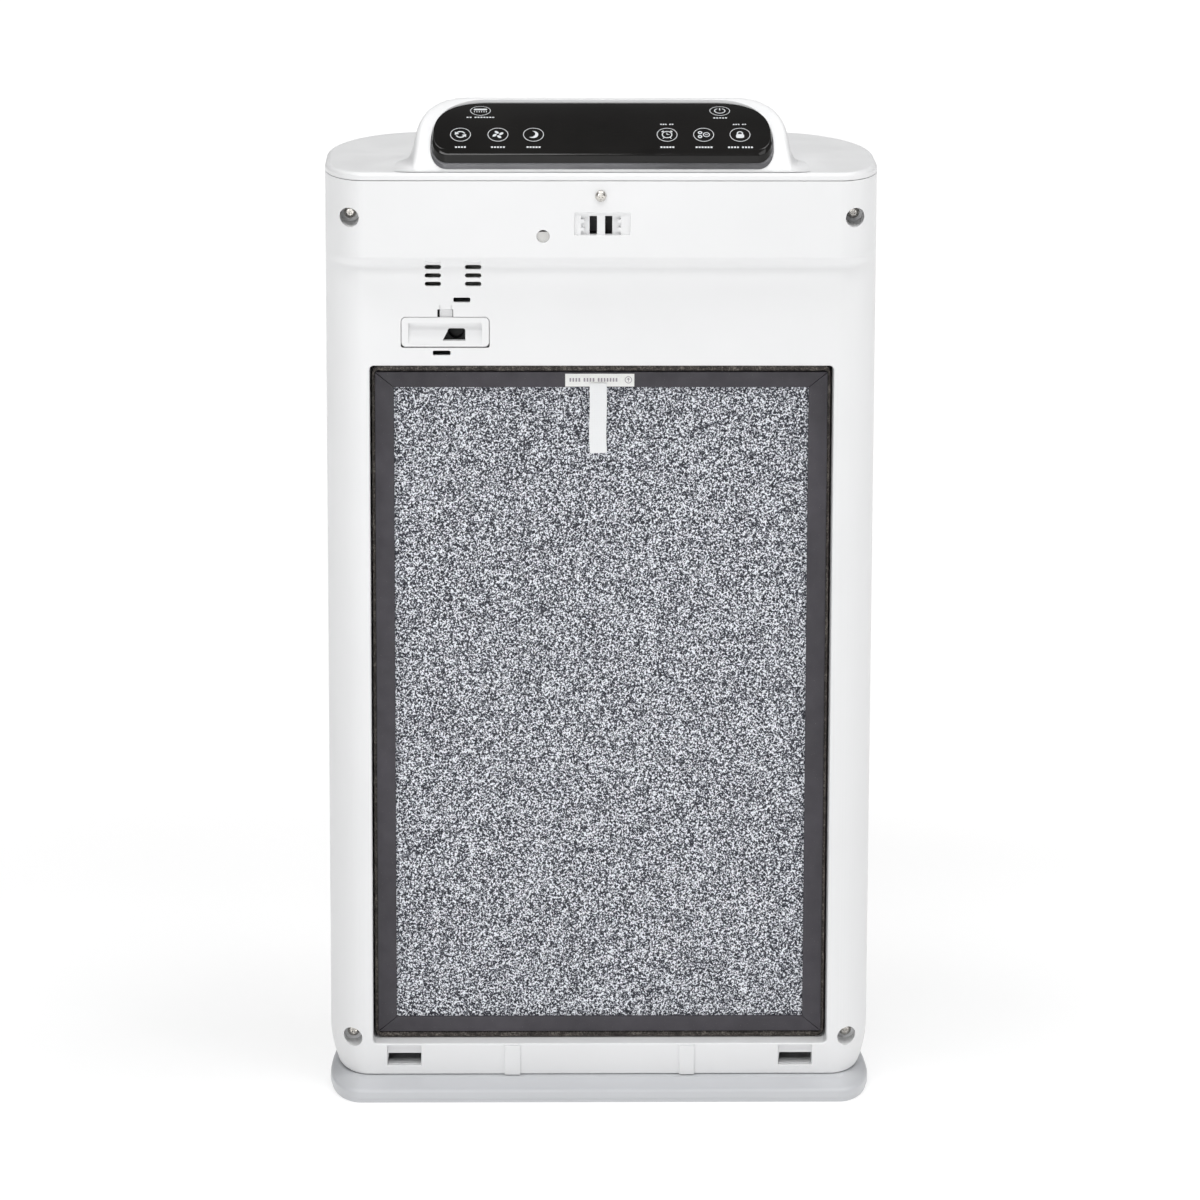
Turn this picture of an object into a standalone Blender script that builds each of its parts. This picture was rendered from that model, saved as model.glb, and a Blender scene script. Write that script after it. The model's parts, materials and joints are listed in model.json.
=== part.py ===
"""Air purifier with its front cover taken off: a standing housing with a control pod on top, a
pull-out filter cartridge in front, and a centrifugal fan that blows up through a grille in the deck.

Lengths are in millimetres in this file; MM turns them into Blender's metres. X points right, Y from
the front into the object, Z up. The origin is at the middle of the footprint, on the surface that
the feet stand on.
"""

import math

import bmesh
import bpy
from mathutils import Matrix, Vector

MM = 0.001

# Driving dimensions
GAP = 0.3  # between pieces that touch
BODY_BACK = 98.0
BODY_BOTTOM = 11.7
CAP_SEAM = 544.8
DECK = 549.6  # top face of the cap
FACE = -80.0  # lower front face
BAND_FACE = -88.0  # face of the band across the top
BAND_BOTTOM = 493.0
PARTING = -10.0  # plane where the front and rear housings meet
WALL = 2.5
FLOOR = 2.3

FRONT_CORNER = (136.0, -36.0)  # centre of the elliptical front corner, in plan
FRONT_CORNER_RX = 24.0
BACK_CORNER = (102.0, 0.0)
BACK_CORNER_RX = 58.0
TUCK_START, TUCK_RADIUS = 30.0, 28.0  # the sides curve in below this height

BASE_HALF_WIDTH, BASE_HALF_DEPTH = 161.0, 100.0
FOOT_RADIUS, FOOT_HEIGHT = 9.0, 4.0
FOOT_PLACES = [(x, y) for x in (-112.0, 112.0) for y in (-74.0, 68.0)]
BASE_SCREW_PLACES = [(x, y) for x in (-88.0, 88.0) for y in (-52.0, 58.0)]

BAY_HALF_WIDTH, BAY_BOTTOM, BAY_TOP = 134.0, 30.5, 436.5
BAY_BACK = -30.3
BAY_WALL = 2.3

CARTRIDGE_FACE, CARTRIDGE_BACK = -68.0, -32.0
CARTRIDGE_BOTTOM, CARTRIDGE_TOP = 30.8, 434.6
CARTRIDGE_HALF_WIDTH = 132.9
CARTRIDGE_ORIGIN = (0.0, CARTRIDGE_FACE, CARTRIDGE_BOTTOM)
SEAL_THICKNESS = 3.4
STRIP_WIDTH, STRIP_WALL = 9.0, 1.4
CARBON_THICKNESS = 11.0
PLEATS = 36

WELL_RADIUS, WELL_FLOOR = 5.6, -60.0
PILLAR_FRONT = WELL_FLOOR + 4.0  # the rear housing's pillars meet the wells' floors here
WELL_PLACES = [(-145.0, 523.3), (145.0, 523.3), (-146.0, 33.6), (146.0, 33.6)]
SCREW_HEAD_RADIUS, SCREW_HEAD_HEIGHT, SCREW_RADIUS = 3.6, 2.4, 1.9

LATCH_SCREW = (-1.0, 536.3)
LATCH_POCKET = (-16.0, 16.0, 513.5, 526.7)  # left, right, bottom, top
LATCH_DEPTH = 5.0
LATCH_SLITS = (-5.2, 3.6)
INTERLOCK = (-34.0, 512.9)
INTERLOCK_RADIUS = 3.7

SENSOR_DOOR = (-115.5, -65.0, 447.6, 464.7)
DOOR_THICKNESS = 2.0
DOOR_HINGE = (-78.7, 449.1)  # Y and Z of its axis
VENT_COLUMNS = [(-101.9, -92.6), (-78.8, -69.4)]
VENT_ROWS = [484.2, 489.1, 494.0]
VENT_HEIGHT = 2.5
LONE_SLOTS = [(-85.5, -75.8, 474.9), (-97.4, -87.2, 444.0)]
HOOK_SLOTS = [(-125.7, -105.6), (105.5, 125.4)]
HOOK_BOTTOM, HOOK_SPLIT, HOOK_TOP = 17.5, 23.9, 29.3
RIBS = [(-56.3, -47.1), (46.9, 55.7)]

FAN_AXIS = (0.0, 225.0)  # X and Z
IMPELLER_RADIUS, IMPELLER_EYE = 100.0, 78.0
IMPELLER_FRONT, IMPELLER_BACK = -18.0, 42.0
BLADES = 22
SCROLL_FRONT, SCROLL_BACK, SCROLL_WALL = -26.0, 60.0, 2.0
SCROLL_TOP = 543.0
DUCT_HALF_WIDTH = 104.0
MOTOR_RADIUS, MOTOR_FRONT, MOTOR_BACK = 38.0, 44.5, 80.0
SHAFT_RADIUS = 4.0

GRILLE_HALF_WIDTH, GRILLE_FRONT, GRILLE_BACK = 104.0, -3.5, 57.5
HANDLE_HALF_WIDTH, HANDLE_BOTTOM, HANDLE_LIP, HANDLE_TOP = 55.0, 473.0, 503.0, 508.0
HANDLE_BACK = 71.5
GLAND = (88.0, 42.0)

# The touch panel is a piece of a cylinder that runs along X. Its section is an arc in Y and Z.
ARC_CENTRE, ARC_RADIUS = (-11.8, 493.1), 92.0
PANEL_HALF_WIDTH, PANEL_FRONT, PANEL_BACK = 97.5, -78.0, -31.7
PANEL_NOSE, PANEL_TAIL = 7.0, (0.33, 0.75)  # its corner radius, and its tail's shares of the width and depth
GLASS_DROP, DIFFUSER_DROP = 3.0, 6.0
RECESS_DROP, RECESS_FLOOR_DROP = 6.3, 8.8
# Half width, front, back, and share of the pod's height there, from its foot to its rim
POD_RINGS = [
    (119.0, -87.6, -8.0, 0.0),
    (114.0, -87.0, -10.5, 0.05),
    (111.0, -86.3, -12.5, 0.15),
    (108.6, -85.3, -15.5, 0.36),
    (106.6, -84.0, -18.5, 0.66),
    (105.0, -82.8, -21.5, 0.87),
    (103.4, -81.6, -25.0, 0.97),
    (101.8, -80.4, -29.5, 1.0),
]

WHITE = (0.86, 0.86, 0.87)
OFF_WHITE = (0.78, 0.78, 0.77)
PALE_GREY = (0.60, 0.61, 0.63)
DARK_CARD = (0.07, 0.065, 0.07)
BLACK = (0.015, 0.015, 0.017)
SMOKE = (0.35, 0.35, 0.37)
FOAM = (0.05, 0.045, 0.04)
CARBON = (0.35, 0.36, 0.38)
QUARTZ = (0.75, 0.80, 0.86)
MOTOR_GREY = (0.25, 0.25, 0.26)
STEEL = (0.62, 0.61, 0.58)
BOARD_GREEN = (0.03, 0.16, 0.08)


# ---------------------------------------------------------------- helpers


def clear_scene():
    for obj in list(bpy.data.objects):
        bpy.data.objects.remove(obj)


def finish_material(obj, colour, roughness, metallic):
    material = bpy.data.materials.new(obj.name)
    material.use_nodes = True
    shader = material.node_tree.nodes["Principled BSDF"]
    shader.inputs["Base Color"].default_value = (*colour, 1.0)
    shader.inputs["Roughness"].default_value = roughness
    shader.inputs["Metallic"].default_value = metallic
    obj.data.materials.clear()
    obj.data.materials.append(material)


def object_from(name, bm):
    """An object from a closed bmesh, which this call uses up. Its normals are made to face out."""
    bmesh.ops.recalc_face_normals(bm, faces=bm.faces)
    if bm.calc_volume(signed=True) < 0:
        bmesh.ops.reverse_faces(bm, faces=bm.faces)
    mesh = bpy.data.meshes.new(name)
    bm.to_mesh(mesh)
    bm.free()
    obj = bpy.data.objects.new(name, mesh)
    bpy.context.scene.collection.objects.link(obj)
    return obj


def mesh_object(name, points, faces):
    """A mesh object from points in millimetres."""
    bm = bmesh.new()
    verts = [bm.verts.new(Vector(p) * MM) for p in points]
    for face in faces:
        bm.faces.new([verts[i] for i in face])
    return object_from(name, bm)


def node(obj, colour, roughness=0.45, metallic=0.0, origin=None, parent=None):
    """Finishes a piece: its material, smooth shading, and its origin at a point in millimetres."""
    finish_material(obj, colour, roughness, metallic)
    obj.data.shade_smooth()
    obj.data.set_sharp_from_angle(angle=math.radians(32))
    place = Vector(origin) * MM if origin else Vector()
    if origin:
        obj.data.transform(Matrix.Translation(-place))
    obj.location = place - (parent.location if parent else Vector())
    obj.parent = parent
    return obj


def empty(name, place):
    obj = bpy.data.objects.new(name, None)
    obj.location = Vector(place) * MM
    bpy.context.scene.collection.objects.link(obj)
    return obj


def boolean(target, other, operation, solver="EXACT"):
    """Applies one Boolean to target and removes the other object."""
    modifier = target.modifiers.new(operation, "BOOLEAN")
    modifier.operation = operation
    modifier.solver = solver
    modifier.object = other
    bpy.context.view_layer.update()
    graph = bpy.context.evaluated_depsgraph_get()
    result = bpy.data.meshes.new_from_object(target.evaluated_get(graph))
    target.modifiers.clear()
    target.data = result
    bpy.data.objects.remove(other)
    return target


def cut(target, *cutters, solver="EXACT"):
    for cutter in cutters:
        boolean(target, cutter, "DIFFERENCE", solver)
    return target


def join(target, *others, solver="EXACT"):
    for other in others:
        boolean(target, other, "UNION", solver)
    return target


def box(name, x, y, z):
    points = [(a, b, c) for a in x for b in y for c in z]
    faces = [(0, 1, 3, 2), (4, 6, 7, 5), (0, 4, 5, 1), (2, 3, 7, 6), (0, 2, 6, 4), (1, 5, 7, 3)]
    return mesh_object(name, points, faces)


def across(name, sides, section):
    """A four-sided section in Y and Z, carried across from one X to the other."""
    points = [(x, y, z) for x in sides for y, z in section]
    faces = [(0, 1, 2, 3), (4, 7, 6, 5), (0, 4, 5, 1), (1, 5, 6, 2), (2, 6, 7, 3), (3, 7, 4, 0)]
    return mesh_object(name, points, faces)


def prism(name, loops, low, high, axis="Y"):
    """A flat region extruded from low to high along axis. The first loop bounds it, and the others
    are holes. A loop's points are (X, Z) when the axis is Y, and (X, Y) when it is Z."""
    bm = bmesh.new()
    for loop in loops:
        ring = [bm.verts.new((a * MM, b * MM, 0.0)) for a, b in loop]
        for start, end in zip(ring, ring[1:] + ring[:1]):
            bm.edges.new((start, end))
    bmesh.ops.triangle_fill(bm, use_beauty=True, use_dissolve=False, edges=bm.edges)
    grown = bmesh.ops.extrude_face_region(bm, geom=bm.faces[:])
    moved = [v for v in grown["geom"] if isinstance(v, bmesh.types.BMVert)]
    bmesh.ops.translate(bm, verts=moved, vec=(0.0, 0.0, (high - low) * MM))
    bmesh.ops.translate(bm, verts=bm.verts, vec=(0.0, 0.0, low * MM))
    if axis == "Y":
        for vert in bm.verts:
            vert.co = (vert.co.x, vert.co.z, vert.co.y)
    return object_from(name, bm)


AXES = {
    "X": (Vector((0, 1, 0)), Vector((0, 0, 1)), Vector((1, 0, 0))),
    "Y": (Vector((0, 0, 1)), Vector((1, 0, 0)), Vector((0, 1, 0))),
    "Z": (Vector((1, 0, 0)), Vector((0, 1, 0)), Vector((0, 0, 1))),
}


def turned(name, profile, centre, axis="Y", segments=24):
    """A body of revolution about an axis through centre. The profile's points are (radius, place
    along the axis). A profile that starts and ends at radius 0 is closed by its poles, and any
    other by joining its ends."""
    across, up, along = AXES[axis]
    points, rows = [], []
    for radius, place in profile:
        middle = Vector(centre) + along * place
        if radius == 0:
            rows.append([len(points)] * segments)
            points.append(middle)
            continue
        rows.append(list(range(len(points), len(points) + segments)))
        for i in range(segments):
            turn = math.tau * i / segments
            points.append(middle + radius * (across * math.cos(turn) + up * math.sin(turn)))
    pole_ends = profile[0][0] == 0 and profile[-1][0] == 0
    pairs = list(zip(rows, rows[1:])) + ([] if pole_ends else [(rows[-1], rows[0])])
    faces = []
    for row, following in pairs:
        for i in range(segments):
            j = (i + 1) % segments
            corners = dict.fromkeys((row[i], row[j], following[j], following[i]))
            faces.append(tuple(corners))
    return mesh_object(name, points, faces)


def rod(name, centre, radius, low, high, axis="Y", segments=16):
    return turned(name, [(0, low), (radius, low), (radius, high), (0, high)], centre, axis, segments)


def mirrored_loft(name, levels):
    """A closed body that is mirrored in X. Each level lists its right-hand points from front to back."""
    count = len(levels[0])
    points, faces = [], []
    for level in levels:
        points += list(level) + [(-x, y, z) for x, y, z in reversed(level)]
    size = 2 * count
    for k in range(len(levels) - 1):
        for i in range(size):
            j = (i + 1) % size
            low, high = k * size, (k + 1) * size
            faces.append((low + i, low + j, high + j, high + i))
    for start in (0, (len(levels) - 1) * size):
        for i in range(count - 1):
            left = start + size - 1 - i
            faces.append((start + i, start + i + 1, left - 1, left))
    return mesh_object(name, points, faces)


def quarter(centre, radii, start, steps):
    """Points of a quarter ellipse, from the angle start, in quarter turns, on for a quarter turn."""
    turns = [(start + i / steps) * math.pi / 2 for i in range(steps + 1)]
    return [(centre[0] + radii[0] * math.cos(t), centre[1] + radii[1] * math.sin(t)) for t in turns]


def slot_loop(left, right, bottom, top, steps=3):
    """A slot with round ends."""
    middle, radius = (bottom + top) / 2, (top - bottom) / 2
    loop = []
    for centre, start in ((right - radius, -0.5), (left + radius, 0.5)):
        for i in range(steps + 1):
            turn = (start + i / steps) * math.pi
            loop.append((centre + radius * math.cos(turn), middle + radius * math.sin(turn)))
    return loop


def rounded_loop(left, right, bottom, top, radius, lower=None, steps=3):
    """A rounded rectangle. Its lower corners may have a radius of their own."""
    low = lower or radius
    corners = (
        ((right - low, bottom + low), low, 3),
        ((right - radius, top - radius), radius, 0),
        ((left + radius, top - radius), radius, 1),
        ((left + low, bottom + low), low, 2),
    )
    return [p for centre, size, start in corners for p in quarter(centre, (size, size), start, steps)]


# ---------------------------------------------------------------- outer shape


def plan_side(z, front, inset=0.0, tuck=0.0):
    """The right half of the housing's outline at one height, from front to back."""
    front_rx = FRONT_CORNER_RX - inset - tuck
    front_ry = FRONT_CORNER[1] - front - inset
    back_radii = (BACK_CORNER_RX - inset - tuck, BODY_BACK - inset)
    corner = quarter(FRONT_CORNER, (front_rx, front_ry), 3, 6)
    tail = quarter(BACK_CORNER, back_radii, 0, 8)
    return [(x, y, z) for x, y in corner + tail]


def tuck_at(z):
    """How far the sides have curved in at this height."""
    drop = max(0.0, TUCK_START - z)
    return TUCK_RADIUS - math.sqrt(TUCK_RADIUS**2 - drop**2)


def housing_levels(bottom, top, inset):
    levels = []
    for z in (bottom, bottom + 1.0, 16.0, 22.0, TUCK_START):
        front = FACE + (1.0 if z == bottom and not inset else 0.0)
        levels.append(plan_side(z, front, inset, tuck_at(z)))
    step = BAND_FACE - FACE
    for rise, share in ((0, 0), (2.2, 0.12), (4.2, 0.45), (6.2, 0.85), (8.2, 1.0)):
        levels.append(plan_side(BAND_BOTTOM + rise, FACE + step * share, inset))
    levels.append(plan_side(top, BAND_FACE, inset))
    return levels


def housing_half(name, keep_front, kept_solids):
    """The front or rear half of the housing's shell. kept_solids stay filled where they cross its hollow."""
    shell = mirrored_loft(name, housing_levels(BODY_BOTTOM, CAP_SEAM, 0.0))
    hollow = mirrored_loft("hollow", housing_levels(BODY_BOTTOM + FLOOR, CAP_SEAM + 5.0, WALL))
    cut(hollow, *kept_solids)
    beyond = (PARTING, 200.0) if keep_front else (-200.0, PARTING + GAP)
    return cut(shell, hollow, box("other_half", (-200.0, 200.0), beyond, (-10.0, 600.0)))


def pod_side(half_width, front, back, height_at, nose=4.0, tail=(0.29, 0.62)):
    """The right half of a rounded outline in plan, raised to the height that height_at gives for each Y."""
    back_radii = (tail[0] * half_width, tail[1] * (back - front))
    corner = quarter((half_width - nose, front + nose), (nose, nose), 3, 3)
    end = quarter((half_width - back_radii[0], back - back_radii[1]), back_radii, 0, 7)
    return [(x, y, height_at(y)) for x, y in corner + end]


def arc_height(y, drop=0.0):
    return ARC_CENTRE[1] + math.sqrt(ARC_RADIUS**2 - (y - ARC_CENTRE[0]) ** 2) - drop


def rim_height(y):
    """The height of the pod's rim: below the glass at the front, and a little above it at the back."""
    share = min(1.0, max(0.0, (y + 79.0) / 49.0))
    return arc_height(max(y, -79.0)) - 6.0 + 7.8 * share


# ---------------------------------------------------------------- housing


def front_housing():
    kept = [
        box(
            "bay_walls",
            (-BAY_HALF_WIDTH - BAY_WALL, BAY_HALF_WIDTH + BAY_WALL),
            (FACE - 20.0, BAY_BACK),
            (BAY_BOTTOM - BAY_WALL, BAY_TOP + BAY_WALL),
        )
    ]
    for x, z in WELL_PLACES:
        kept.append(rod("boss", (x, 0, z), WELL_RADIUS + 2, BAND_FACE - 10, PILLAR_FRONT))
    left, right, bottom, top = LATCH_POCKET
    behind = (BAND_FACE - 10, BAND_FACE + LATCH_DEPTH + 2)
    kept.append(box("latch_wall", (left - 2, right + 2), behind, (bottom - 2, top + 2)))
    for left, right in HOOK_SLOTS:
        wall = ((left - 2, right + 2), (FACE - 10, FACE + 7), (12.0, BAY_BOTTOM - 1))
        kept.append(box("hook_wall", *wall))
    shell = housing_half("front_housing", True, kept)
    for left, right in RIBS:
        rib = ((left, right), (FACE - 1.2, FACE + 1), (BODY_BOTTOM + 0.2, BAY_BOTTOM - 0.2))
        join(shell, box("rib", *rib), solver="MANIFOLD")
    cut(shell, *front_cutters(), solver="MANIFOLD")
    return node(shell, WHITE, 0.4)


def front_cutters():
    """The filter bay, the screw wells, and every slot and pocket in the front housing's face."""
    ahead, through = -95.0, -75.0
    bay = ((-BAY_HALF_WIDTH, BAY_HALF_WIDTH), (FACE - 9, BAY_BACK + 5), (BAY_BOTTOM, BAY_TOP))
    cutters = [box("bay", *bay)]
    hole_radius = SCREW_RADIUS + GAP
    for x, z in WELL_PLACES:
        cutters.append(rod("well", (x, 0, z), WELL_RADIUS, ahead, WELL_FLOOR))
        cutters.append(rod("screw_hole", (x, 0, z), hole_radius, WELL_FLOOR - 1, 0.0, segments=12))
    for x, y in BASE_SCREW_PLACES:
        if y < PARTING:
            cutters.append(rod("screw_hole", (x, y, 0), hole_radius, 5.0, 20.0, "Z", 12))

    left, right, bottom, top = LATCH_POCKET
    cutters.append(box("pocket", (left, right), (ahead, BAND_FACE + LATCH_DEPTH), (bottom, top)))
    for x in LATCH_SLITS:
        slit = ((x - 2.1, x + 2.1), (ahead, BAND_FACE + 12), (bottom + 1, top - 3))
        cutters.append(box("latch_slit", *slit))
    x, z = LATCH_SCREW
    cutters.append(rod("screw_hole", (x, 0, z), hole_radius, ahead, through, segments=12))
    x, z = INTERLOCK
    cutters.append(rod("interlock_hole", (x, 0, z), INTERLOCK_RADIUS, ahead, through, segments=20))

    slots = [(left, right, z) for left, right in VENT_COLUMNS for z in VENT_ROWS] + LONE_SLOTS
    for left, right, z in slots:
        loop = slot_loop(left, right, z - VENT_HEIGHT / 2, z + VENT_HEIGHT / 2)
        cutters.append(prism("slot", [loop], ahead, through))
    left, right, bottom, top = SENSOR_DOOR
    opening = rounded_loop(left - GAP, right + GAP, bottom - 2 * GAP, top + GAP, 3.0, 1.7)
    cutters.append(prism("door_opening", [opening], ahead, through))
    cutters.append(box("door_notch", (-94.7, -85.7), (ahead, through), (top - 1, 471.7)))
    for left, right in HOOK_SLOTS:
        cutters.append(box("hook_pocket", (left, right), (ahead, FACE + 5), (HOOK_BOTTOM, HOOK_TOP)))
        cutters.append(box("hook_slot", (left, right), (ahead, FACE + 12), (HOOK_BOTTOM, HOOK_SPLIT)))
    return cutters


def rear_housing():
    width, behind = HANDLE_HALF_WIDTH, BODY_BACK + 2.0
    deep, tall = (HANDLE_BACK - WALL, BODY_BACK + 20), (HANDLE_BOTTOM - WALL, HANDLE_TOP + WALL)
    kept = [box("handle_cup", (-width - WALL, width + WALL), deep, tall)]
    for x, z in WELL_PLACES:
        kept.append(rod("pillar", (x, 0, z), WELL_RADIUS, PARTING - 10, 24.0, segments=20))
        reach = sorted((x, math.copysign(170.0, x)))
        kept.append(box("gusset", reach, (PARTING - 10, 24.0), (z - 1.2, z + 1.2)))
    shell = housing_half("rear_housing", False, kept)
    low = HANDLE_BOTTOM
    recess = ((HANDLE_BACK, low), (behind, low), (behind, HANDLE_LIP), (HANDLE_BACK, HANDLE_TOP))
    cut(shell, across("handle_recess", (-width, width), recess))
    for x, z in WELL_PLACES:
        join(shell, rod("pillar", (x, 0, z), WELL_RADIUS, PILLAR_FRONT + GAP, 0.0, segments=20))
        cut(shell, rod("screw_hole", (x, 0, z), SCREW_RADIUS + GAP, PILLAR_FRONT - 5, -28.0, segments=12))
    x, z = GLAND
    cut(shell, rod("gland_hole", (x, 0, z), 8.0, 80.0, 120.0))
    for x, y in BASE_SCREW_PLACES:
        if y > PARTING:
            cut(shell, rod("hole", (x, y, 0), SCREW_RADIUS + GAP, 5.0, 20.0, "Z", 12))
    return node(shell, WHITE, 0.4)


def top_cap():
    rise = ((CAP_SEAM + GAP, 0.0), (547.2, 0.0), (548.6, 0.6), (549.3, 1.6), (DECK, 3.4))
    shell = mirrored_loft("top_cap", [plan_side(z, BAND_FACE, inset) for z, inset in rise])
    under = [plan_side(z, BAND_FACE, WALL) for z in (CAP_SEAM - 1, DECK - 2.4)]
    cut(shell, mirrored_loft("underside", under))
    width, depth = GRILLE_HALF_WIDTH + GAP, (GRILLE_FRONT - GAP, GRILLE_BACK + GAP)
    cut(shell, box("mouth", (-width, width), depth, (540.0, 560.0)))
    cut(shell, box("cable_hole", (-20.0, 20.0), (-50.0, -36.0), (540.0, 560.0)))
    return node(shell, WHITE, 0.4)


def outlet_grille():
    left, right = -GRILLE_HALF_WIDTH, GRILLE_HALF_WIDTH
    border, pitch, bar = 3.0, 8.0, 2.4
    outline = [(left, GRILLE_FRONT), (right, GRILLE_FRONT), (right, GRILLE_BACK), (left, GRILLE_BACK)]
    loops = [outline]
    count = int((right - left - 2 * border + bar) / pitch)
    start = -count * pitch / 2
    low, high = GRILLE_FRONT + border, GRILLE_BACK - border
    for i in range(count):
        x = start + i * pitch + bar / 2
        loops.append([(x, low), (x + pitch - bar, low), (x + pitch - bar, high), (x, high)])
    return node(prism("outlet_grille", loops, DECK - 5.0, DECK - 0.2, "Z"), PALE_GREY, 0.5)


def base_side(z, inset):
    """The right half of the base's outline, from front to back."""
    corner = quarter((131.0, -60.0), (BASE_HALF_WIDTH - 131.0 - inset, 40.0 - inset), 3, 6)
    tail = quarter((103.0, 2.0), (BASE_HALF_WIDTH - 103.0 - inset, BASE_HALF_DEPTH - 2.0 - inset), 0, 8)
    return [(x, y, z) for x, y in corner + tail]


def base():
    rise = ((1.0, 1.6), (3.2, 0.8), (3.6, 0.0), (6.4, 0.0), (8.2, 1.8), (BODY_BOTTOM - GAP, 14.0))
    shell = mirrored_loft("base", [base_side(z, inset) for z, inset in rise])
    hollow = mirrored_loft("hollow", [base_side(z, 6.0) for z in (-2.0, 5.4)])
    for x, y in FOOT_PLACES:
        cut(hollow, rod("keep", (x, y, 0), FOOT_RADIUS + 2.3, -5.0, 9.0, "Z"))
    for x, y in BASE_SCREW_PLACES:
        cut(hollow, rod("keep", (x, y, 0), 6.0, -5.0, 9.0, "Z", 20))
    cut(shell, hollow)
    for x, y in FOOT_PLACES:
        cut(shell, rod("foot_seat", (x, y, 0), FOOT_RADIUS + GAP, -5.0, FOOT_HEIGHT + GAP, "Z"))
    for x, y in BASE_SCREW_PLACES:
        cut(shell, rod("head_seat", (x, y, 0), SCREW_HEAD_RADIUS + GAP, -5.0, 5.0, "Z", 20))
        cut(shell, rod("hole", (x, y, 0), SCREW_RADIUS + GAP, -5.0, 20.0, "Z", 12))
    return node(shell, PALE_GREY, 0.35)


def feet():
    radius, height = FOOT_RADIUS, FOOT_HEIGHT
    profile = [(0, 0), (radius - 0.8, 0), (radius, 0.8), (radius, height), (0, height)]
    for name, (x, y) in zip(("front_left", "rear_left", "front_right", "rear_right"), FOOT_PLACES):
        node(turned(f"foot_{name}", profile, (x, y, 0), "Z", 20), BLACK, 0.8, origin=(x, y, 0))


# ---------------------------------------------------------------- control pod


def control_pod():
    def height(share):
        return lambda y: DECK + GAP + share * (rim_height(y) - DECK - GAP)

    levels = [pod_side(width, front, back, height(share)) for width, front, back, share in POD_RINGS]
    edge = (PANEL_HALF_WIDTH + 0.9, PANEL_FRONT - 0.9, PANEL_BACK + 0.9)
    corners = (PANEL_NOSE + 0.9, PANEL_TAIL)
    levels.append(pod_side(*edge, rim_height, *corners))
    levels.append(pod_side(*edge, lambda y: min(arc_height(y, RECESS_DROP), rim_height(y) - 0.4), *corners))
    shell = mirrored_loft("control_pod", levels)
    low = pod_side(100.0, -74.0, -20.0, lambda y: DECK - 3.0)
    high = pod_side(97.0, -73.0, -30.0, lambda y: arc_height(y, RECESS_FLOOR_DROP))
    cut(shell, mirrored_loft("hollow", [low, high]))
    return node(shell, WHITE, 0.35)


def curved_slab(name, margin, top_drop, bottom_drop):
    edge = (PANEL_HALF_WIDTH - margin, PANEL_FRONT + margin, PANEL_BACK - margin)
    levels = []
    for drop in (bottom_drop, top_drop):
        levels.append(pod_side(*edge, lambda y, d=drop: arc_height(y, d), PANEL_NOSE - margin, PANEL_TAIL))
    return mirrored_loft(name, levels)


def control_stack():
    node(curved_slab("touch_panel", 0.0, 0.0, GLASS_DROP), BLACK, 0.08)
    node(curved_slab("panel_diffuser", 0.3, GLASS_DROP + GAP, DIFFUSER_DROP), SMOKE, 0.3)
    board = box("control_board", (-74.0, 74.0), (-18.0, 18.0), (-0.8, 0.8))
    join(board, box("chip", (-8.0, 8.0), (-6.0, 6.0), (-3.2, 0.0)))
    join(board, box("connector", (30.0, 44.0), (6.0, 14.0), (-5.5, 0.0)))
    tilt = Matrix.Rotation(math.radians(31), 4, "X")
    board.data.transform(Matrix.Translation(Vector((0, -50, 560.6)) * MM) @ tilt)
    node(board, BOARD_GREEN, 0.5)


# ---------------------------------------------------------------- fasteners, latch, interlock, sensor


def pan_screw(name, place, axis, origin, head_low, tip, cross=False):
    """A pan-head screw. Its head's underside is at head_low along the axis, and its end at tip."""
    way = 1.0 if tip > head_low else -1.0
    top = head_low - way * SCREW_HEAD_HEIGHT
    profile = [
        (0, top),
        (SCREW_HEAD_RADIUS * 0.62, top + way * 0.25),
        (SCREW_HEAD_RADIUS, top + way * 1.2),
        (SCREW_HEAD_RADIUS, head_low),
        (SCREW_RADIUS, head_low),
        (SCREW_RADIUS, tip - way * 1.5),
        (0, tip),
    ]
    screw = turned(name, profile, place, axis, 12)
    x, y, z = place
    for across, up in ((1.9, 0.45), (0.45, 1.9)) if cross else ():
        reach = sorted((top - way, top + way * 1.3))
        cut(screw, box("cross", (x - across, x + across), reach, (z - up, z + up)))
    return node(screw, STEEL, 0.3, 1.0, origin=origin)


def screws():
    sides = ("top_left", "top_right", "bottom_left", "bottom_right")
    for side, (x, z) in zip(sides, WELL_PLACES):
        head = WELL_FLOOR - GAP
        pan_screw(f"housing_screw_{side}", (x, 0, z), "Y", (x, head, z), head, -33.0)
    sides = ("front_left", "rear_left", "front_right", "rear_right")
    for side, (x, y) in zip(sides, BASE_SCREW_PLACES):
        head = 5.0 - GAP
        pan_screw(f"base_screw_{side}", (x, y, 0), "Z", (x, y, head), head, 19.0)
    x, z = LATCH_SCREW
    pan_screw("latch_screw", (x, 0, z), "Y", (x, BAND_FACE, z), BAND_FACE - GAP, -68.0, cross=True)


def latch_block():
    """The moulded block behind the latch pocket. It holds the front cover's two hooks."""
    left, right, bottom, top = LATCH_POCKET
    front = BAND_FACE + LATCH_DEPTH + 2 + GAP
    block = box("latch_block", (left - 1, right + 1), (front, front + 14), (bottom - 2, 541.0))
    for x in LATCH_SLITS:
        cut(block, box("hook_room", (x - 2.6, x + 2.6), (front - 3, front + 9), (bottom, top - 2)))
    x, z = LATCH_SCREW
    cut(block, rod("screw_hole", (x, 0, z), SCREW_RADIUS + GAP, front - 3, -65.0, segments=12))
    return node(block, OFF_WHITE, 0.5)


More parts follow.
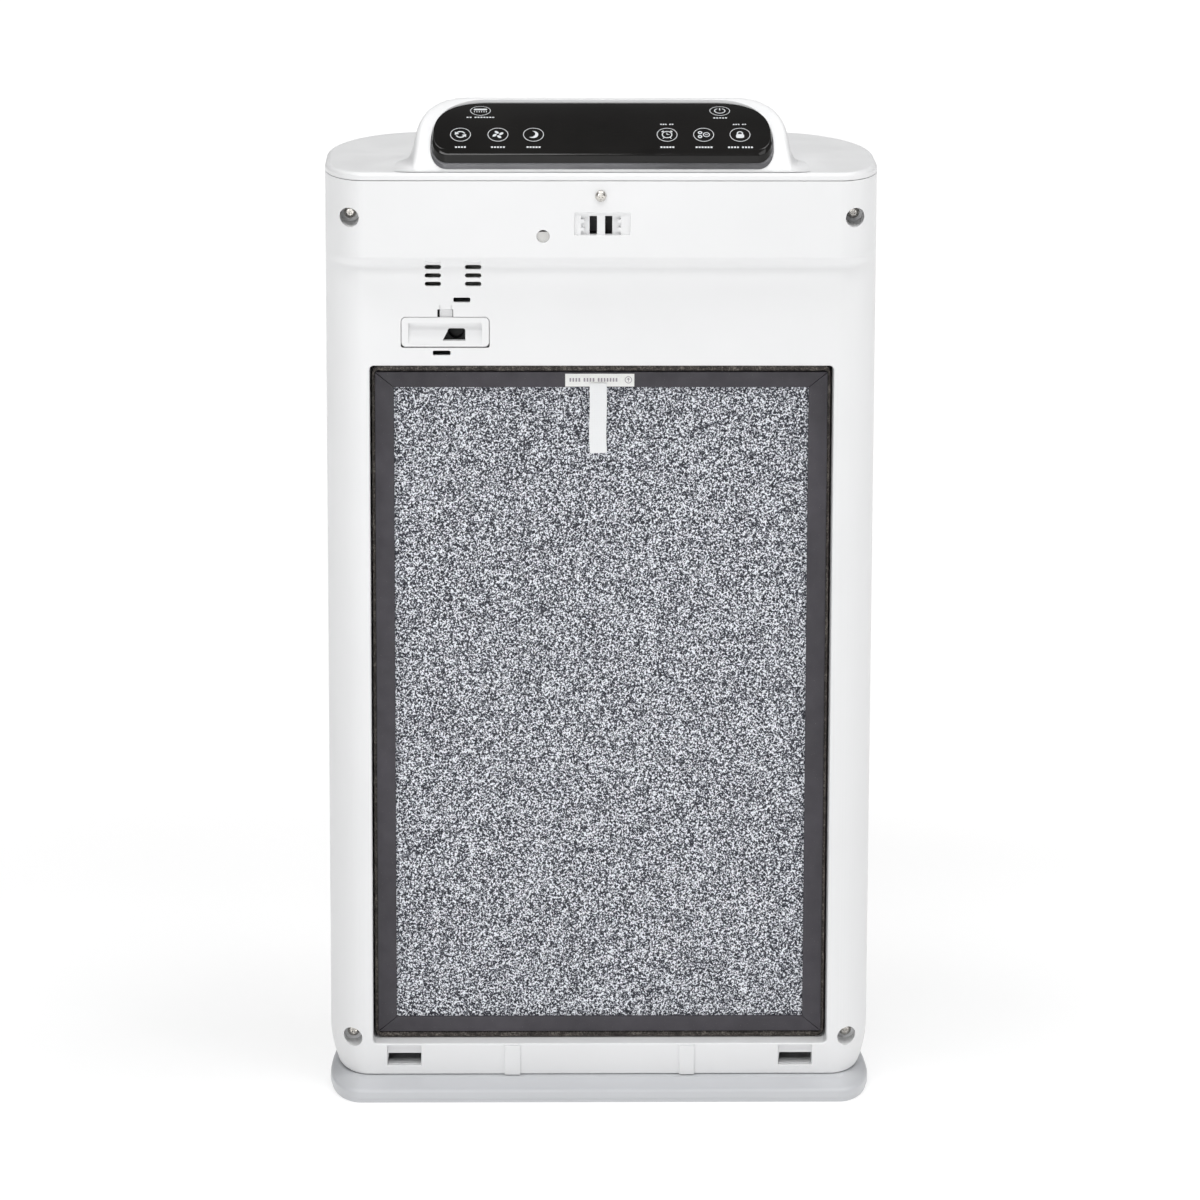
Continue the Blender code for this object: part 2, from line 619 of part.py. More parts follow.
def interlock(axis_empty):
    """The plunger that the front cover's pin pushes in, and the switch behind it."""
    x, z = INTERLOCK
    front = BAND_FACE + WALL + GAP
    plunger = box("interlock_plunger", (x - 5.0, x + 5.0), (front, front + 4), (z - 5.5, z + 2.4))
    join(plunger, box("stem", (x - 3.0, x + 3.0), (front + 3, -70.0), (z - 3.0, z + 1.9)))
    node(plunger, OFF_WHITE, 0.5, origin=(x, front, z), parent=axis_empty)
    switch = box("interlock_switch", (x - 10.0, x + 10.0), (-64.0, -48.0), (z - 6.0, z + 5.0))
    for dx in (-7.0, 0.0, 7.0):
        terminal = ((x + dx - 1.2, x + dx + 1.2), (-49.0, -41.0), (z - 0.5, z + 0.5))
        join(switch, box("terminal", *terminal))
    join(switch, box("button", (x - 2.0, x + 2.0), (-66.7, -63.0), (z - 1.5, z + 1.5)))
    node(switch, BLACK, 0.5)


def sensor_door(hinge):
    left, right, bottom, top = SENSOR_DOOR
    back = FACE + DOOR_THICKNESS
    door = prism("sensor_door", [rounded_loop(left, right, bottom, top, 2.6, 2.0)], FACE, back)
    join(door, box("tongue", (-92.9, -86.5), (FACE + 0.4, back), (top - 2.0, 470.2)))
    sides, low, high = (-111.5, -69.0), 448.9, 461.4  # the finger scoop, deepest at its top
    wall = ((sides[0] - 1.2, sides[1] + 1.2), (FACE + 1, FACE + 6.0), (low + 1, high + 1.2))
    join(door, box("scoop_wall", *wall))
    section = ((FACE - 2, low), (FACE - 2, high), (FACE + 4.6, high), (FACE + 0.2, low))
    cut(door, across("scoop", sides, section))
    hole = [(-91.8, 451.0), (-78.7, 451.0), (-78.7, 457.0), (-79.5, 457.8), (-87.6, 457.8), (-88.6, 457)]
    cut(door, prism("air_hole", [hole], -90.0, -70.0))
    for x in (left + 4.0, right - 4.0):
        join(door, rod("knuckle", (x, *DOOR_HINGE), 1.2, -2.5, 2.5, "X", 12))
    node(door, WHITE, 0.4, origin=(-90.0, *DOOR_HINGE), parent=hinge)


def dust_sensor():
    body = box("dust_sensor", (-113.0, -67.0), (-67.0, -50.0), (443.0, 473.0))
    cut(body, rod("eye", (-84.0, 0, 455.0), 4.5, -70.0, -58.0, segments=20))
    join(body, box("plug", (-108.0, -92.0), (-51.0, -46.0), (446.0, 452.0)))
    node(body, BLACK, 0.5)


# ---------------------------------------------------------------- filter cartridge


def strip_profile():
    """A channel's section: across the frame's face from its outer edge, and back from its face."""
    depth = CARTRIDGE_BACK - CARTRIDGE_FACE
    wall, width = STRIP_WALL, STRIP_WIDTH
    front_leg = [(0, 0), (width, 0), (width, wall), (wall, wall)]
    back_leg = [(across, depth - deep) for across, deep in reversed(front_leg)]
    return front_leg + back_leg


def frame_strip(name, start, end, inward, parent):
    """One channel of the frame, mitred at both ends. start and end are its outer corners, in X and Z."""
    along = (Vector(end) - Vector(start)).normalized()
    inward = Vector(inward)
    points = []
    for corner, way in ((start, 1.0), (end, -1.0)):
        for across, deep in strip_profile():
            place = Vector(corner) + inward * across + along * way * (across + 0.15)
            points.append((place.x, CARTRIDGE_FACE + deep, place.y))
    size = len(strip_profile())
    faces = [(i, (i + 1) % size, size + (i + 1) % size, size + i) for i in range(size)]
    faces += [tuple(range(size)), tuple(range(2 * size - 1, size - 1, -1))]
    strip = mesh_object(name, points, faces)
    node(strip, DARK_CARD, 0.7, origin=CARTRIDGE_ORIGIN, parent=parent)


def cartridge_corners(inset):
    """The cartridge's corners in X and Z, moved in by inset."""
    half = CARTRIDGE_HALF_WIDTH - inset
    low, high = CARTRIDGE_BOTTOM + inset, CARTRIDGE_TOP - inset
    return [(-half, low), (half, low), (half, high), (-half, high)]


def filter_cartridge(slide):
    origin = CARTRIDGE_ORIGIN
    loops = [cartridge_corners(0.0), cartridge_corners(SEAL_THICKNESS)]
    seal = prism("filter_seal", loops, CARTRIDGE_FACE + 0.6, CARTRIDGE_BACK - 1)
    node(seal, FOAM, 0.95, origin=origin, parent=slide)

    edge = SEAL_THICKNESS + GAP
    corners = cartridge_corners(edge)
    names = ("frame_bottom", "frame_right", "frame_top", "frame_left")
    inwards = ((0, 1), (-1, 0), (0, -1), (1, 0))
    for i, (name, inward) in enumerate(zip(names, inwards)):
        frame_strip(name, corners[i], corners[(i + 1) % 4], inward, slide)

    (left, low), _, (right, high), _ = cartridge_corners(edge + STRIP_WALL + GAP)
    face = CARTRIDGE_FACE + STRIP_WALL + GAP
    carbon = box("carbon_media", (left, right), (face, face + CARBON_THICKNESS), (low, high))
    node(carbon, CARBON, 0.9, origin=origin, parent=slide)

    sheet = 1.8  # the paper's thickness, measured along Y
    crest, trough = face + CARBON_THICKNESS + GAP, CARTRIDGE_BACK - STRIP_WALL - GAP - sheet
    pitch = (right - left) / (2 * PLEATS)
    front = [(left + i * pitch, crest if i % 2 else trough) for i in range(2 * PLEATS + 1)]
    back = [(x, y + sheet) for x, y in reversed(front)]
    pack = prism("hepa_media", [front + back], low, high, "Z")
    node(pack, WHITE, 0.9, origin=origin, parent=slide)

    label = box("filter_label", (-21.0, 19.0), (-68.5, CARTRIDGE_FACE - 0.15), (422.4, 429.9))
    node(label, WHITE, 0.8, origin=origin, parent=slide)
    back = [(-69.0 - 0.9 * math.sin(i * 0.8) - 0.08 * i, 424.5 - 3.4 * i) for i in range(13)]
    tab = back + [(y - 0.5, z) for y, z in reversed(back)]
    count = len(tab)
    points = [(x, y, z) for x in (-6.9, 3.1) for y, z in tab]
    faces = [(i, (i + 1) % count, count + (i + 1) % count, count + i) for i in range(count)]
    faces += [tuple(range(count)), tuple(range(2 * count - 1, count - 1, -1))]
    node(mesh_object("pull_tab", points, faces), WHITE, 0.8, origin=origin, parent=slide)


# ---------------------------------------------------------------- fan


def scroll_outline(inset, top):
    """The scroll's outline in X and Z: a spiral that opens into the duct above it."""
    x, z = FAN_AXIS
    half = DUCT_HALF_WIDTH - inset
    loop = [(-half, top), (-half, z + 205.0)]
    turns = [math.pi * (0.93 + 1.35 * i / 26) for i in range(27)]
    for i, turn in enumerate(turns):
        radius = 138.0 - 26.0 * i / 26 - inset
        loop.append((x + radius * math.cos(turn), z + radius * math.sin(turn)))
    return loop + [(half, z + 185.0), (half, top)]


def scroll_casing():
    x, z = FAN_AXIS
    outside, inside = scroll_outline(0.0, SCROLL_TOP), scroll_outline(SCROLL_WALL, SCROLL_TOP + 20)
    casing = prism("scroll_casing", [outside], SCROLL_FRONT, SCROLL_BACK)
    cut(casing, prism("room", [inside], SCROLL_FRONT + SCROLL_WALL, SCROLL_BACK - SCROLL_WALL))
    cut(casing, rod("inlet", (x, 0, z), 76.0, SCROLL_FRONT - 5, 0.0, segments=36))
    cut(casing, rod("motor_hole", (x, 0, z), MOTOR_RADIUS + 1.5, 50.0, SCROLL_BACK + 5, segments=28))
    return node(casing, OFF_WHITE, 0.5)


def fan_guard():
    """The partition behind the filter, with a grid of ring sectors over the fan's inlet."""
    x, z = FAN_AXIS
    edge = 2.0
    left, right = -BAY_HALF_WIDTH - edge, BAY_HALF_WIDTH + edge
    low, high = BAY_BOTTOM - edge, BAY_TOP + edge
    loops = [[(left, low), (right, low), (right, high), (left, high)]]
    spokes, bars = 6, 3.0
    for inner in (20.0, 36.0, 52.0, 68.0):
        outer = inner + 13.0
        for k in range(spokes):
            middle = math.tau * k / spokes
            loop = []
            for radius, way in ((inner, 1), (outer, -1)):
                half = math.pi / spokes - math.asin(bars / 2 / radius)
                steps = 3
                arc = [middle + way * half * (2 * i / steps - 1) for i in range(steps + 1)]
                loop += [(x + radius * math.cos(t), z + radius * math.sin(t)) for t in arc]
            loops.append(loop)
    plate = prism("fan_guard", loops, BAY_BACK + GAP, BAY_BACK + 2.6)
    return node(plate, WHITE, 0.5)


def inlet_ring():
    x, z = FAN_AXIS
    front = SCROLL_FRONT - GAP - 1.2
    profile = [(86.0, front), (86.0, front + 1.2), (75.0, front + 1.2)]
    profile += [(74.0, -15.0), (72.6, -15.0), (73.4, front)]
    return node(turned("inlet_ring", profile, (x, 0, z), "Y", 36), OFF_WHITE, 0.5)


def blade_ring(centre, front, back):
    """All the blades as one mesh: each leans with its radius, and is 1.6 mm thick."""
    points, faces = [], []
    steps = (0.0, 0.5, 1.0)
    for k in range(BLADES):
        start = math.tau * (k + 0.3) / BLADES
        arc = []
        for step in steps:
            radius = IMPELLER_EYE + 2 + (IMPELLER_RADIUS - IMPELLER_EYE - 3) * step
            arc.append((radius, start + 0.16 * step * step))
        section = arc + [(radius, turn + 1.6 / radius) for radius, turn in reversed(arc)]
        first, size = len(points), len(section)
        for y in (front, back):
            for radius, turn in section:
                place = (centre[0] + radius * math.cos(turn), y, centre[2] + radius * math.sin(turn))
                points.append(place)
        for i in range(size):
            low, following = first + i, first + (i + 1) % size
            faces.append((low, following, following + size, low + size))
        faces.append(tuple(first + i for i in range(size)))
        faces.append(tuple(first + size + i for i in reversed(range(size))))
    return mesh_object("blades", points, faces)


def fan_rotor(spin):
    centre = (FAN_AXIS[0], 0, FAN_AXIS[1])
    front, back, bore = IMPELLER_FRONT, IMPELLER_BACK, SHAFT_RADIUS + GAP
    plate = [(bore, 6.0), (11.0, 6.0), (14.0, 12.0), (30.0, back - 4), (IMPELLER_RADIUS, back - 2)]
    plate += [(IMPELLER_RADIUS, back), (30.0, back), (bore, back)]
    wheel = turned("impeller", plate, centre, "Y", 48)
    join(wheel, blade_ring(centre, front + 1.0, back - 1.4), solver="MANIFOLD")
    rim = IMPELLER_RADIUS + 0.5
    ring = [(IMPELLER_EYE, front), (rim, front), (rim, front + 3), (IMPELLER_EYE, front + 2)]
    join(wheel, turned("shroud", ring, centre, "Y", 48), solver="MANIFOLD")
    node(wheel, OFF_WHITE, 0.5, origin=centre, parent=spin)

    shaft = rod("motor_shaft", centre, SHAFT_RADIUS, -6.0, 74.0)
    node(shaft, STEEL, 0.25, 1.0, origin=centre, parent=spin)
    nut = rod("impeller_nut", centre, 8.0, -2.0, 5.6, segments=6)
    cut(nut, rod("bore", centre, bore, -5.0, 9.0))
    node(nut, STEEL, 0.3, 1.0, origin=centre, parent=spin)


def motor():
    x, z = FAN_AXIS
    centre = (x, 0, z)
    bore, radius = SHAFT_RADIUS + GAP, MOTOR_RADIUS
    front, back = MOTOR_FRONT, MOTOR_BACK
    profile = [(0, 75.0), (bore, 75.0), (bore, front), (radius - 3, front), (radius, front + 3)]
    profile += [(radius, back - 4), (radius - 5, back), (0, back)]
    node(turned("fan_motor", profile, centre, "Y", 28), MOTOR_GREY, 0.35, 0.8)
    low = SCROLL_BACK + GAP
    inner, outer = radius + GAP, radius + 18.0
    flange = [(inner, low), (outer, low), (outer, low + 2.4)]
    collar = [(inner + 3, low + 2.4), (inner + 3, low + 8), (inner, low + 8)]
    node(turned("motor_mount", flange + collar, centre, "Y", 28), STEEL, 0.4, 0.9)


# ---------------------------------------------------------------- lamp, ionizer, power


def duct_fittings():
    profile = [(0, -74.0), (6.0, -74.0), (8.0, -71.0), (8.0, 71.0), (6.0, 74.0), (0, 74.0)]
    node(turned("uv_lamp", profile, (0, 20.0, 470.0), "X", 24), QUARTZ, 0.1)
    for side, way in (("left", -1.0), ("right", 1.0)):
        reach = sorted((way * (74.0 + GAP), way * (DUCT_HALF_WIDTH - SCROLL_WALL - GAP)))
        socket = box(f"lamp_socket_{side}", reach, (9.0, 31.0), (459.0, 481.0))
        node(socket, OFF_WHITE, 0.5)
    back = SCROLL_BACK - SCROLL_WALL - GAP
    ionizer = box("ionizer", (30.0, 72.0), (back - 14.0, back), (500.0, 518.0))
    for dx in (10.0, 32.0):
        join(ionizer, rod("needle", (30.0 + dx, back - 7.0, 0), 1.0, 517.0, 526.0, "Z", 10))
    node(ionizer, BLACK, 0.5)


def power_parts():
    board = box("power_board", (20.0, 120.0), (40.0, 41.6), (18.0, 76.0))
    join(board, box("transformer", (28.0, 56.0), (12.0, 40.5), (24.0, 50.0)))
    join(board, rod("capacitor", (78.0, 0, 40.0), 9.0, 14.0, 40.5, segments=20))
    join(board, box("heat_sink", (96.0, 112.0), (18.0, 40.5), (26.0, 60.0)))
    node(board, BOARD_GREEN, 0.5)
    x, z = GLAND
    back = BODY_BACK
    collar = [(3.6, back + 1.6), (9.4, back + 1.6), (10.6, back + 0.4), (7.7, back + GAP)]
    barb = [(7.7, back - 6.0), (9.2, back - 7.0), (9.2, back - 9.0), (3.6, back - 9.0)]
    profile = collar + barb
    node(turned("cord_gland", profile, (x, 0, z), "Y", 20), BLACK, 0.6, origin=(x, back, z))


def main():
    clear_scene()
    front_housing()
    rear_housing()
    top_cap()
    outlet_grille()
    base()
    feet()
    control_pod()
    control_stack()
    screws()
    latch_block()
    x, z = INTERLOCK
    interlock(empty("interlock_axis", (x, BAND_FACE + WALL + GAP, z)))
    sensor_door(empty("door_hinge", (-90.0, *DOOR_HINGE)))
    dust_sensor()
    filter_cartridge(empty("cartridge_slide", (0, CARTRIDGE_FACE, CARTRIDGE_BOTTOM)))
    scroll_casing()
    fan_guard()
    inlet_ring()
    fan_rotor(empty("fan_axis", (FAN_AXIS[0], 0, FAN_AXIS[1])))
    motor()
    duct_fittings()
    power_parts()


main()
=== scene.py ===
"""Looks of an air purifier with its front cover off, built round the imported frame.

Lengths are in millimetres, and MM turns them into metres. X points right, Y from the front into the
object, Z up.
"""

import json
import math

import bmesh
import bpy
from mathutils import Matrix, Vector, noise


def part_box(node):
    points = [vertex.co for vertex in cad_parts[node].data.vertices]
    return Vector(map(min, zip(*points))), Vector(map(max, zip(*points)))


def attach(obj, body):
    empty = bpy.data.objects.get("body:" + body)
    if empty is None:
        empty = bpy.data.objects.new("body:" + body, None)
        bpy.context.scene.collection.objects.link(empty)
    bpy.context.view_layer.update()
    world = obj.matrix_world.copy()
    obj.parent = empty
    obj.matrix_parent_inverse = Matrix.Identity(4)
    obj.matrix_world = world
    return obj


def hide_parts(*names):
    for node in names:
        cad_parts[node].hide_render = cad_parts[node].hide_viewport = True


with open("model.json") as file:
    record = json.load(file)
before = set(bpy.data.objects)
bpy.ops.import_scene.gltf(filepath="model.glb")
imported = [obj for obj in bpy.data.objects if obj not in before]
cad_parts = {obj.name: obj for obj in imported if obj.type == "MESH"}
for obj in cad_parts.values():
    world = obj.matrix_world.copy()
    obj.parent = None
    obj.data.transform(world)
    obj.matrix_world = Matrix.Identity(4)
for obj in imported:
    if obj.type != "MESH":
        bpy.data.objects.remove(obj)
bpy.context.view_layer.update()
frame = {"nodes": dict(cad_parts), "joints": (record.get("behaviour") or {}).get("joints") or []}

MM = 0.001
GAP = 0.3
WALL = 2.5


def reach(node):
    """A node's lowest and highest corners."""
    low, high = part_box(node)
    return low / MM, high / MM


def middle(node):
    """The middle of a node's box."""
    low, high = reach(node)
    return (low + high) / 2


# ---------------------------------------------------------------- places and sizes, in the frame

FRONT_LOW, FRONT_HIGH = reach("front_housing")
BODY_BOTTOM, CAP_SEAM = FRONT_LOW.z, FRONT_HIGH.z
HALF_WIDTH, BAND_FACE, PARTING = FRONT_HIGH.x, FRONT_LOW.y, FRONT_HIGH.y
BODY_BACK = reach("rear_housing")[1].y
DECK = reach("top_cap")[1].z
FACE = reach("sensor_door")[0].y
BAND_BOTTOM, BAND_RISE = 493.0, 8.2  # the band's rounded lower edge
AHEAD, SKIN_BACK = -95.0, -75.0  # in front of the housing, and behind its front wall
SEAL_LOW, SEAL_HIGH = reach("filter_seal")
BAY = (-134.0, 134.0, SEAL_LOW.z - GAP, SEAL_HIGH.z + 1.9)  # left, right, bottom, top
BAY_BACK, BAY_WALL = -30.3, 2.3

FRONT_CORNER, FRONT_CORNER_RX = (136.0, -36.0), HALF_WIDTH - 136.0
BACK_CORNER, BACK_CORNER_RX = (102.0, 0.0), HALF_WIDTH - 102.0
TUCK_START, TUCK_RADIUS = 34.0, 56.0  # below this height the sides curve in
BASE_SLIM = 1.0  # how much narrower the base is on each side than in the CAD

WELL_RADIUS, WELL_FLOOR = 5.6, reach("housing_screw_top_left")[0].y + 2.7
PILLAR_FRONT = WELL_FLOOR + 4.0  # the rear housing's pillars meet the wells' floors here
CORNERS = ("top_left", "top_right", "bottom_left", "bottom_right")
WELLS = {c: middle(f"housing_screw_{c}") for c in CORNERS}
PLINTH_CORNERS = ("front_left", "rear_left", "front_right", "rear_right")
BASE_SCREWS = {c: middle(f"base_screw_{c}") for c in PLINTH_CORNERS}
FEET = {c: middle(f"foot_{c}") for c in PLINTH_CORNERS}
FOOT_RADIUS, FOOT_HEIGHT = 9.0, reach("foot_front_left")[1].z
SCREW_HEAD_RADIUS, SCREW_HEAD_HEIGHT, SCREW_RADIUS = 3.6, 2.4, 1.9
SCREW_HOLE = SCREW_RADIUS + GAP
HEAD_SEAT = 5.0  # height at which the base's screw heads sit

LATCH_SCREW = middle("latch_screw")
LATCH_POCKET = (-16.0, 16.0, 513.5, 526.7)
LATCH_DEPTH, LATCH_SLITS, LATCH_SLIT_HALF = 5.0, (-5.2, 3.6), 2.1
INTERLOCK, INTERLOCK_RADIUS = (-34.0, 512.9), 3.7
DOOR = (-115.5, -65.0, 447.6, 464.7)
DOOR_THICKNESS = 2.0
SCOOP = (-111.5, -69.0, 448.9, 461.4)
NOTCH, NOTCH_TOP = (-94.7, -85.7), 469.4  # the notch above the door that its tongue goes into
VENTS = [(a, b, z) for a, b in ((-101.9, -92.6), (-78.8, -69.4)) for z in (484.2, 489.1, 494.0)]
LONE_SLOTS = [(-85.5, -75.8, 474.9), (-97.4, -87.2, 444.0)]
SLOT_HEIGHT, LONE_HEIGHT = 2.5, 2.7
HOOK_SLOTS = [(-125.7, -105.6), (105.5, 125.4)]
HOOK_BOTTOM, HOOK_SPLIT, HOOK_TOP = 17.5, 23.9, 29.3
RIBS = [(-56.3, -47.1), (46.9, 55.7)]
HANDLE = (-55.0, 55.0, 473.0, 503.0)
HANDLE_TOP, HANDLE_BACK = 508.0, 71.5
GLAND = middle("cord_gland")
GRILLE_LOW, GRILLE_HIGH = reach("outlet_grille")

BASE_HIGH = reach("base")[1]

ARC_Y, ARC_Z, ARC_RADIUS = -11.8, 493.1, 92.0  # axis and radius of the panel's cylinder, along X
GLASS_LOW, GLASS_HIGH = reach("touch_panel")
PANEL = (GLASS_HIGH.x, GLASS_LOW.y, GLASS_HIGH.y)  # half width, front, back
PANEL_NOSE, PANEL_TAIL = 8.5, (0.33, 0.75)
FACE_RADIUS = 99.4  # the glass's upper face is a little flatter than the arc, with the same crest
GLASS_DROP, DIFFUSER_DROP, RECESS_DROP, RECESS_FLOOR_DROP = 3.0, 6.0, 6.3, 8.8
# Half width, front, back, and share of the pod's height there, from its foot to its rim.
POD_RINGS = [
    (119.0, -85.8, -8.0, 0.0),
    (114.6, -86.3, -10.5, 0.05),
    (111.6, -86.1, -12.5, 0.15),
    (109.4, -85.3, -15.5, 0.36),
    (108.0, -84.0, -18.5, 0.66),
    (106.4, -82.8, -21.5, 0.87),
    (104.4, -81.6, -25.0, 0.97),
    (102.0, -80.4, -29.5, 1.0),
]


# ---------------------------------------------------------------- mesh helpers


def object_from(name, bm):
    """An object from a closed bmesh, with its normals facing out."""
    bmesh.ops.remove_doubles(bm, verts=bm.verts, dist=1e-7)
    bmesh.ops.recalc_face_normals(bm, faces=bm.faces)
    if bm.calc_volume(signed=True) < 0:
        bmesh.ops.reverse_faces(bm, faces=bm.faces)
    mesh = bpy.data.meshes.new(name)
    bm.to_mesh(mesh)
    bm.free()
    obj = bpy.data.objects.new(name, mesh)
    bpy.context.scene.collection.objects.link(obj)
    return obj


def mesh_object(name, points, faces):
    bm = bmesh.new()
    verts = [bm.verts.new(Vector(p) * MM) for p in points]
    for face in faces:
        bm.faces.new([verts[i] for i in face])
    return object_from(name, bm)


def boolean(target, other, operation):
    modifier = target.modifiers.new(operation, "BOOLEAN")
    modifier.operation = operation
    modifier.solver = "MANIFOLD"
    modifier.object = other
    bpy.context.view_layer.update()
    graph = bpy.context.evaluated_depsgraph_get()
    result = bpy.data.meshes.new_from_object(target.evaluated_get(graph))
    target.modifiers.clear()
    target.data = result
    bpy.data.objects.remove(other)


def cut(target, *cutters):
    for cutter in cutters:
        boolean(target, cutter, "DIFFERENCE")
    return target


def join(target, *others):
    for other in others:
        boolean(target, other, "UNION")
    return target


def box(name, x, y, z):
    points = [(a, b, c) for a in x for b in y for c in z]
    faces = [(0, 1, 3, 2), (4, 6, 7, 5), (0, 4, 5, 1), (2, 3, 7, 6), (0, 2, 6, 4), (1, 5, 7, 3)]
    return mesh_object(name, points, faces)


def walls(count, size):
    """The faces between loops, one after another, of as many points each."""
    faces = []
    for k in range(count - 1):
        for i in range(size):
            j = (i + 1) % size
            faces.append((k * size + i, k * size + j, (k + 1) * size + j, (k + 1) * size + i))
    return faces


def loft(name, levels):
    """A closed body through loops that have the same number of points, with its two ends filled."""
    size = len(levels[0])
    points = [p for level in levels for p in level]
    ends = [tuple(range(size)), tuple(range(len(points) - size, len(points)))]
    return mesh_object(name, points, ends + walls(len(levels), size))


def mirrored_loft(name, levels):
    """A closed body that is mirrored in X. Each level lists its right-hand points from front to back,
    and the ends are filled with strips that run across."""
    count = len(levels[0])
    size = 2 * count
    points = []
    for level in levels:
        points += list(level) + [(-x, y, z) for x, y, z in reversed(level)]
    faces = walls(len(levels), size)
    for start in (0, (len(levels) - 1) * size):
        for i in range(count - 1):
            left = start + size - 1 - i
            faces.append((start + i, start + i + 1, left - 1, left))
    return mesh_object(name, points, faces)


TURNING = {
    "X": (Vector((0, 1, 0)), Vector((0, 0, 1)), Vector((1, 0, 0))),
    "Y": (Vector((0, 0, 1)), Vector((1, 0, 0)), Vector((0, 1, 0))),
    "Z": (Vector((1, 0, 0)), Vector((0, 1, 0)), Vector((0, 0, 1))),
}


def turned(name, profile, centre, axis="Y", segments=48):
    """A body of revolution. The profile's points are (radius, place along the axis), and it either
    starts and ends at radius 0 or is closed by joining its ends."""
    across, up, along = TURNING[axis]
    points, rows = [], []
    for radius, place in profile:
        middle = Vector(centre) + along * place
        if radius == 0:
            rows.append([len(points)] * segments)
            points.append(middle)
            continue
        rows.append(list(range(len(points), len(points) + segments)))
        for i in range(segments):
            turn = math.tau * i / segments
            points.append(middle + radius * (across * math.cos(turn) + up * math.sin(turn)))
    poles = profile[0][0] == 0 and profile[-1][0] == 0
    pairs = list(zip(rows, rows[1:])) + ([] if poles else [(rows[-1], rows[0])])
    faces = []
    for row, following in pairs:
        for i in range(segments):
            j = (i + 1) % segments
            faces.append(tuple(dict.fromkeys((row[i], row[j], following[j], following[i]))))
    return mesh_object(name, points, faces)


def rod(name, place, radius, low, high, axis="Y", segments=40):
    """A cylinder about the line through place, from low to high along the axis."""
    centre = Vector(place)
    centre["XYZ".index(axis)] = 0
    return turned(name, [(0, low), (radius, low), (radius, high), (0, high)], centre, axis, segments)


def grid(cols, rows):
    """The cells of a grid of points that is listed row by row, and the points along its rim."""
    row = cols + 1
    cells = [(a, a + 1, a + row + 1, a + row) for j in range(rows) for a in range(j * row, j * row + cols)]
    rim = list(range(row)) + [j * row + cols for j in range(1, rows + 1)]
    rim += [rows * row + i for i in range(cols - 1, -1, -1)] + [j * row for j in range(rows - 1, 0, -1)]
    return cells, rim


def thin_sheet(name, cols, rows, thickness, place):
    """A closed sheet of cells. place(i, j) gives a point of its front, and its back is behind that."""
    front = [place(i, j) for j in range(rows + 1) for i in range(cols + 1)]
    points = [(x, y + back, z) for back in (0.0, thickness) for x, y, z in front]
    cells, rim = grid(cols, rows)
    layer = len(front)
    faces = []
    for a, b, c, d in cells:
        faces += [(a, b, c, d), (a + layer, d + layer, c + layer, b + layer)]
    for a, b in zip(rim, rim[1:] + rim[:1]):
        faces.append((a, a + layer, b + layer, b))
    return mesh_object(name, points, faces)


def polar(centre, radius, turn):
    return (centre[0] + radius * math.cos(turn), centre[1] + radius * math.sin(turn))


def quarter(centre, radii, start, steps):
    """Points of a quarter ellipse, from the angle start, in quarter turns, on for a quarter turn."""
    turns = [(start + i / steps) * math.pi / 2 for i in range(steps + 1)]
    return [(centre[0] + radii[0] * math.cos(t), centre[1] + radii[1] * math.sin(t)) for t in turns]


def rounded_loop(rect, radius, steps=8):
    left, right, bottom, top = grown(rect, -radius)
    corners = (((right, bottom), 3), ((right, top), 0), ((left, top), 1), ((left, bottom), 2))
    return [p for centre, start in corners for p in quarter(centre, (radius, radius), start, steps)]


def grown(rect, amount):
    """A rectangle (left, right, bottom, top) with all its sides moved out."""
    left, right, bottom, top = rect
    return (left - amount, right + amount, bottom - amount, top + amount)


def block(name, rect, corner, front, back, edge, flare=False):
    """A rounded block from front to back along Y. Its front edge is rounded, or, on a cutter, flared
    out so that the hole it cuts has a rounded mouth."""
    way = 1.0 if flare else -1.0
    rows = [(-6.0, edge)] if flare else []
    for turn in (0, 0.4, 0.8, 1.2, math.pi / 2):
        rows.append((edge * (1 - math.cos(turn)), edge * (1 - math.sin(turn))))
    rows.append((back - front, 0.0))
    levels = []
    for depth, change in rows:
        loop = rounded_loop(grown(rect, way * change), max(0.02, corner + way * change))
        levels.append([(x, front + depth, z) for x, z in loop])
    return loft(name, levels)


def disc_rect(x, z, radius):
    return (x - radius, x + radius, z - radius, z + radius)


# ---------------------------------------------------------------- materials


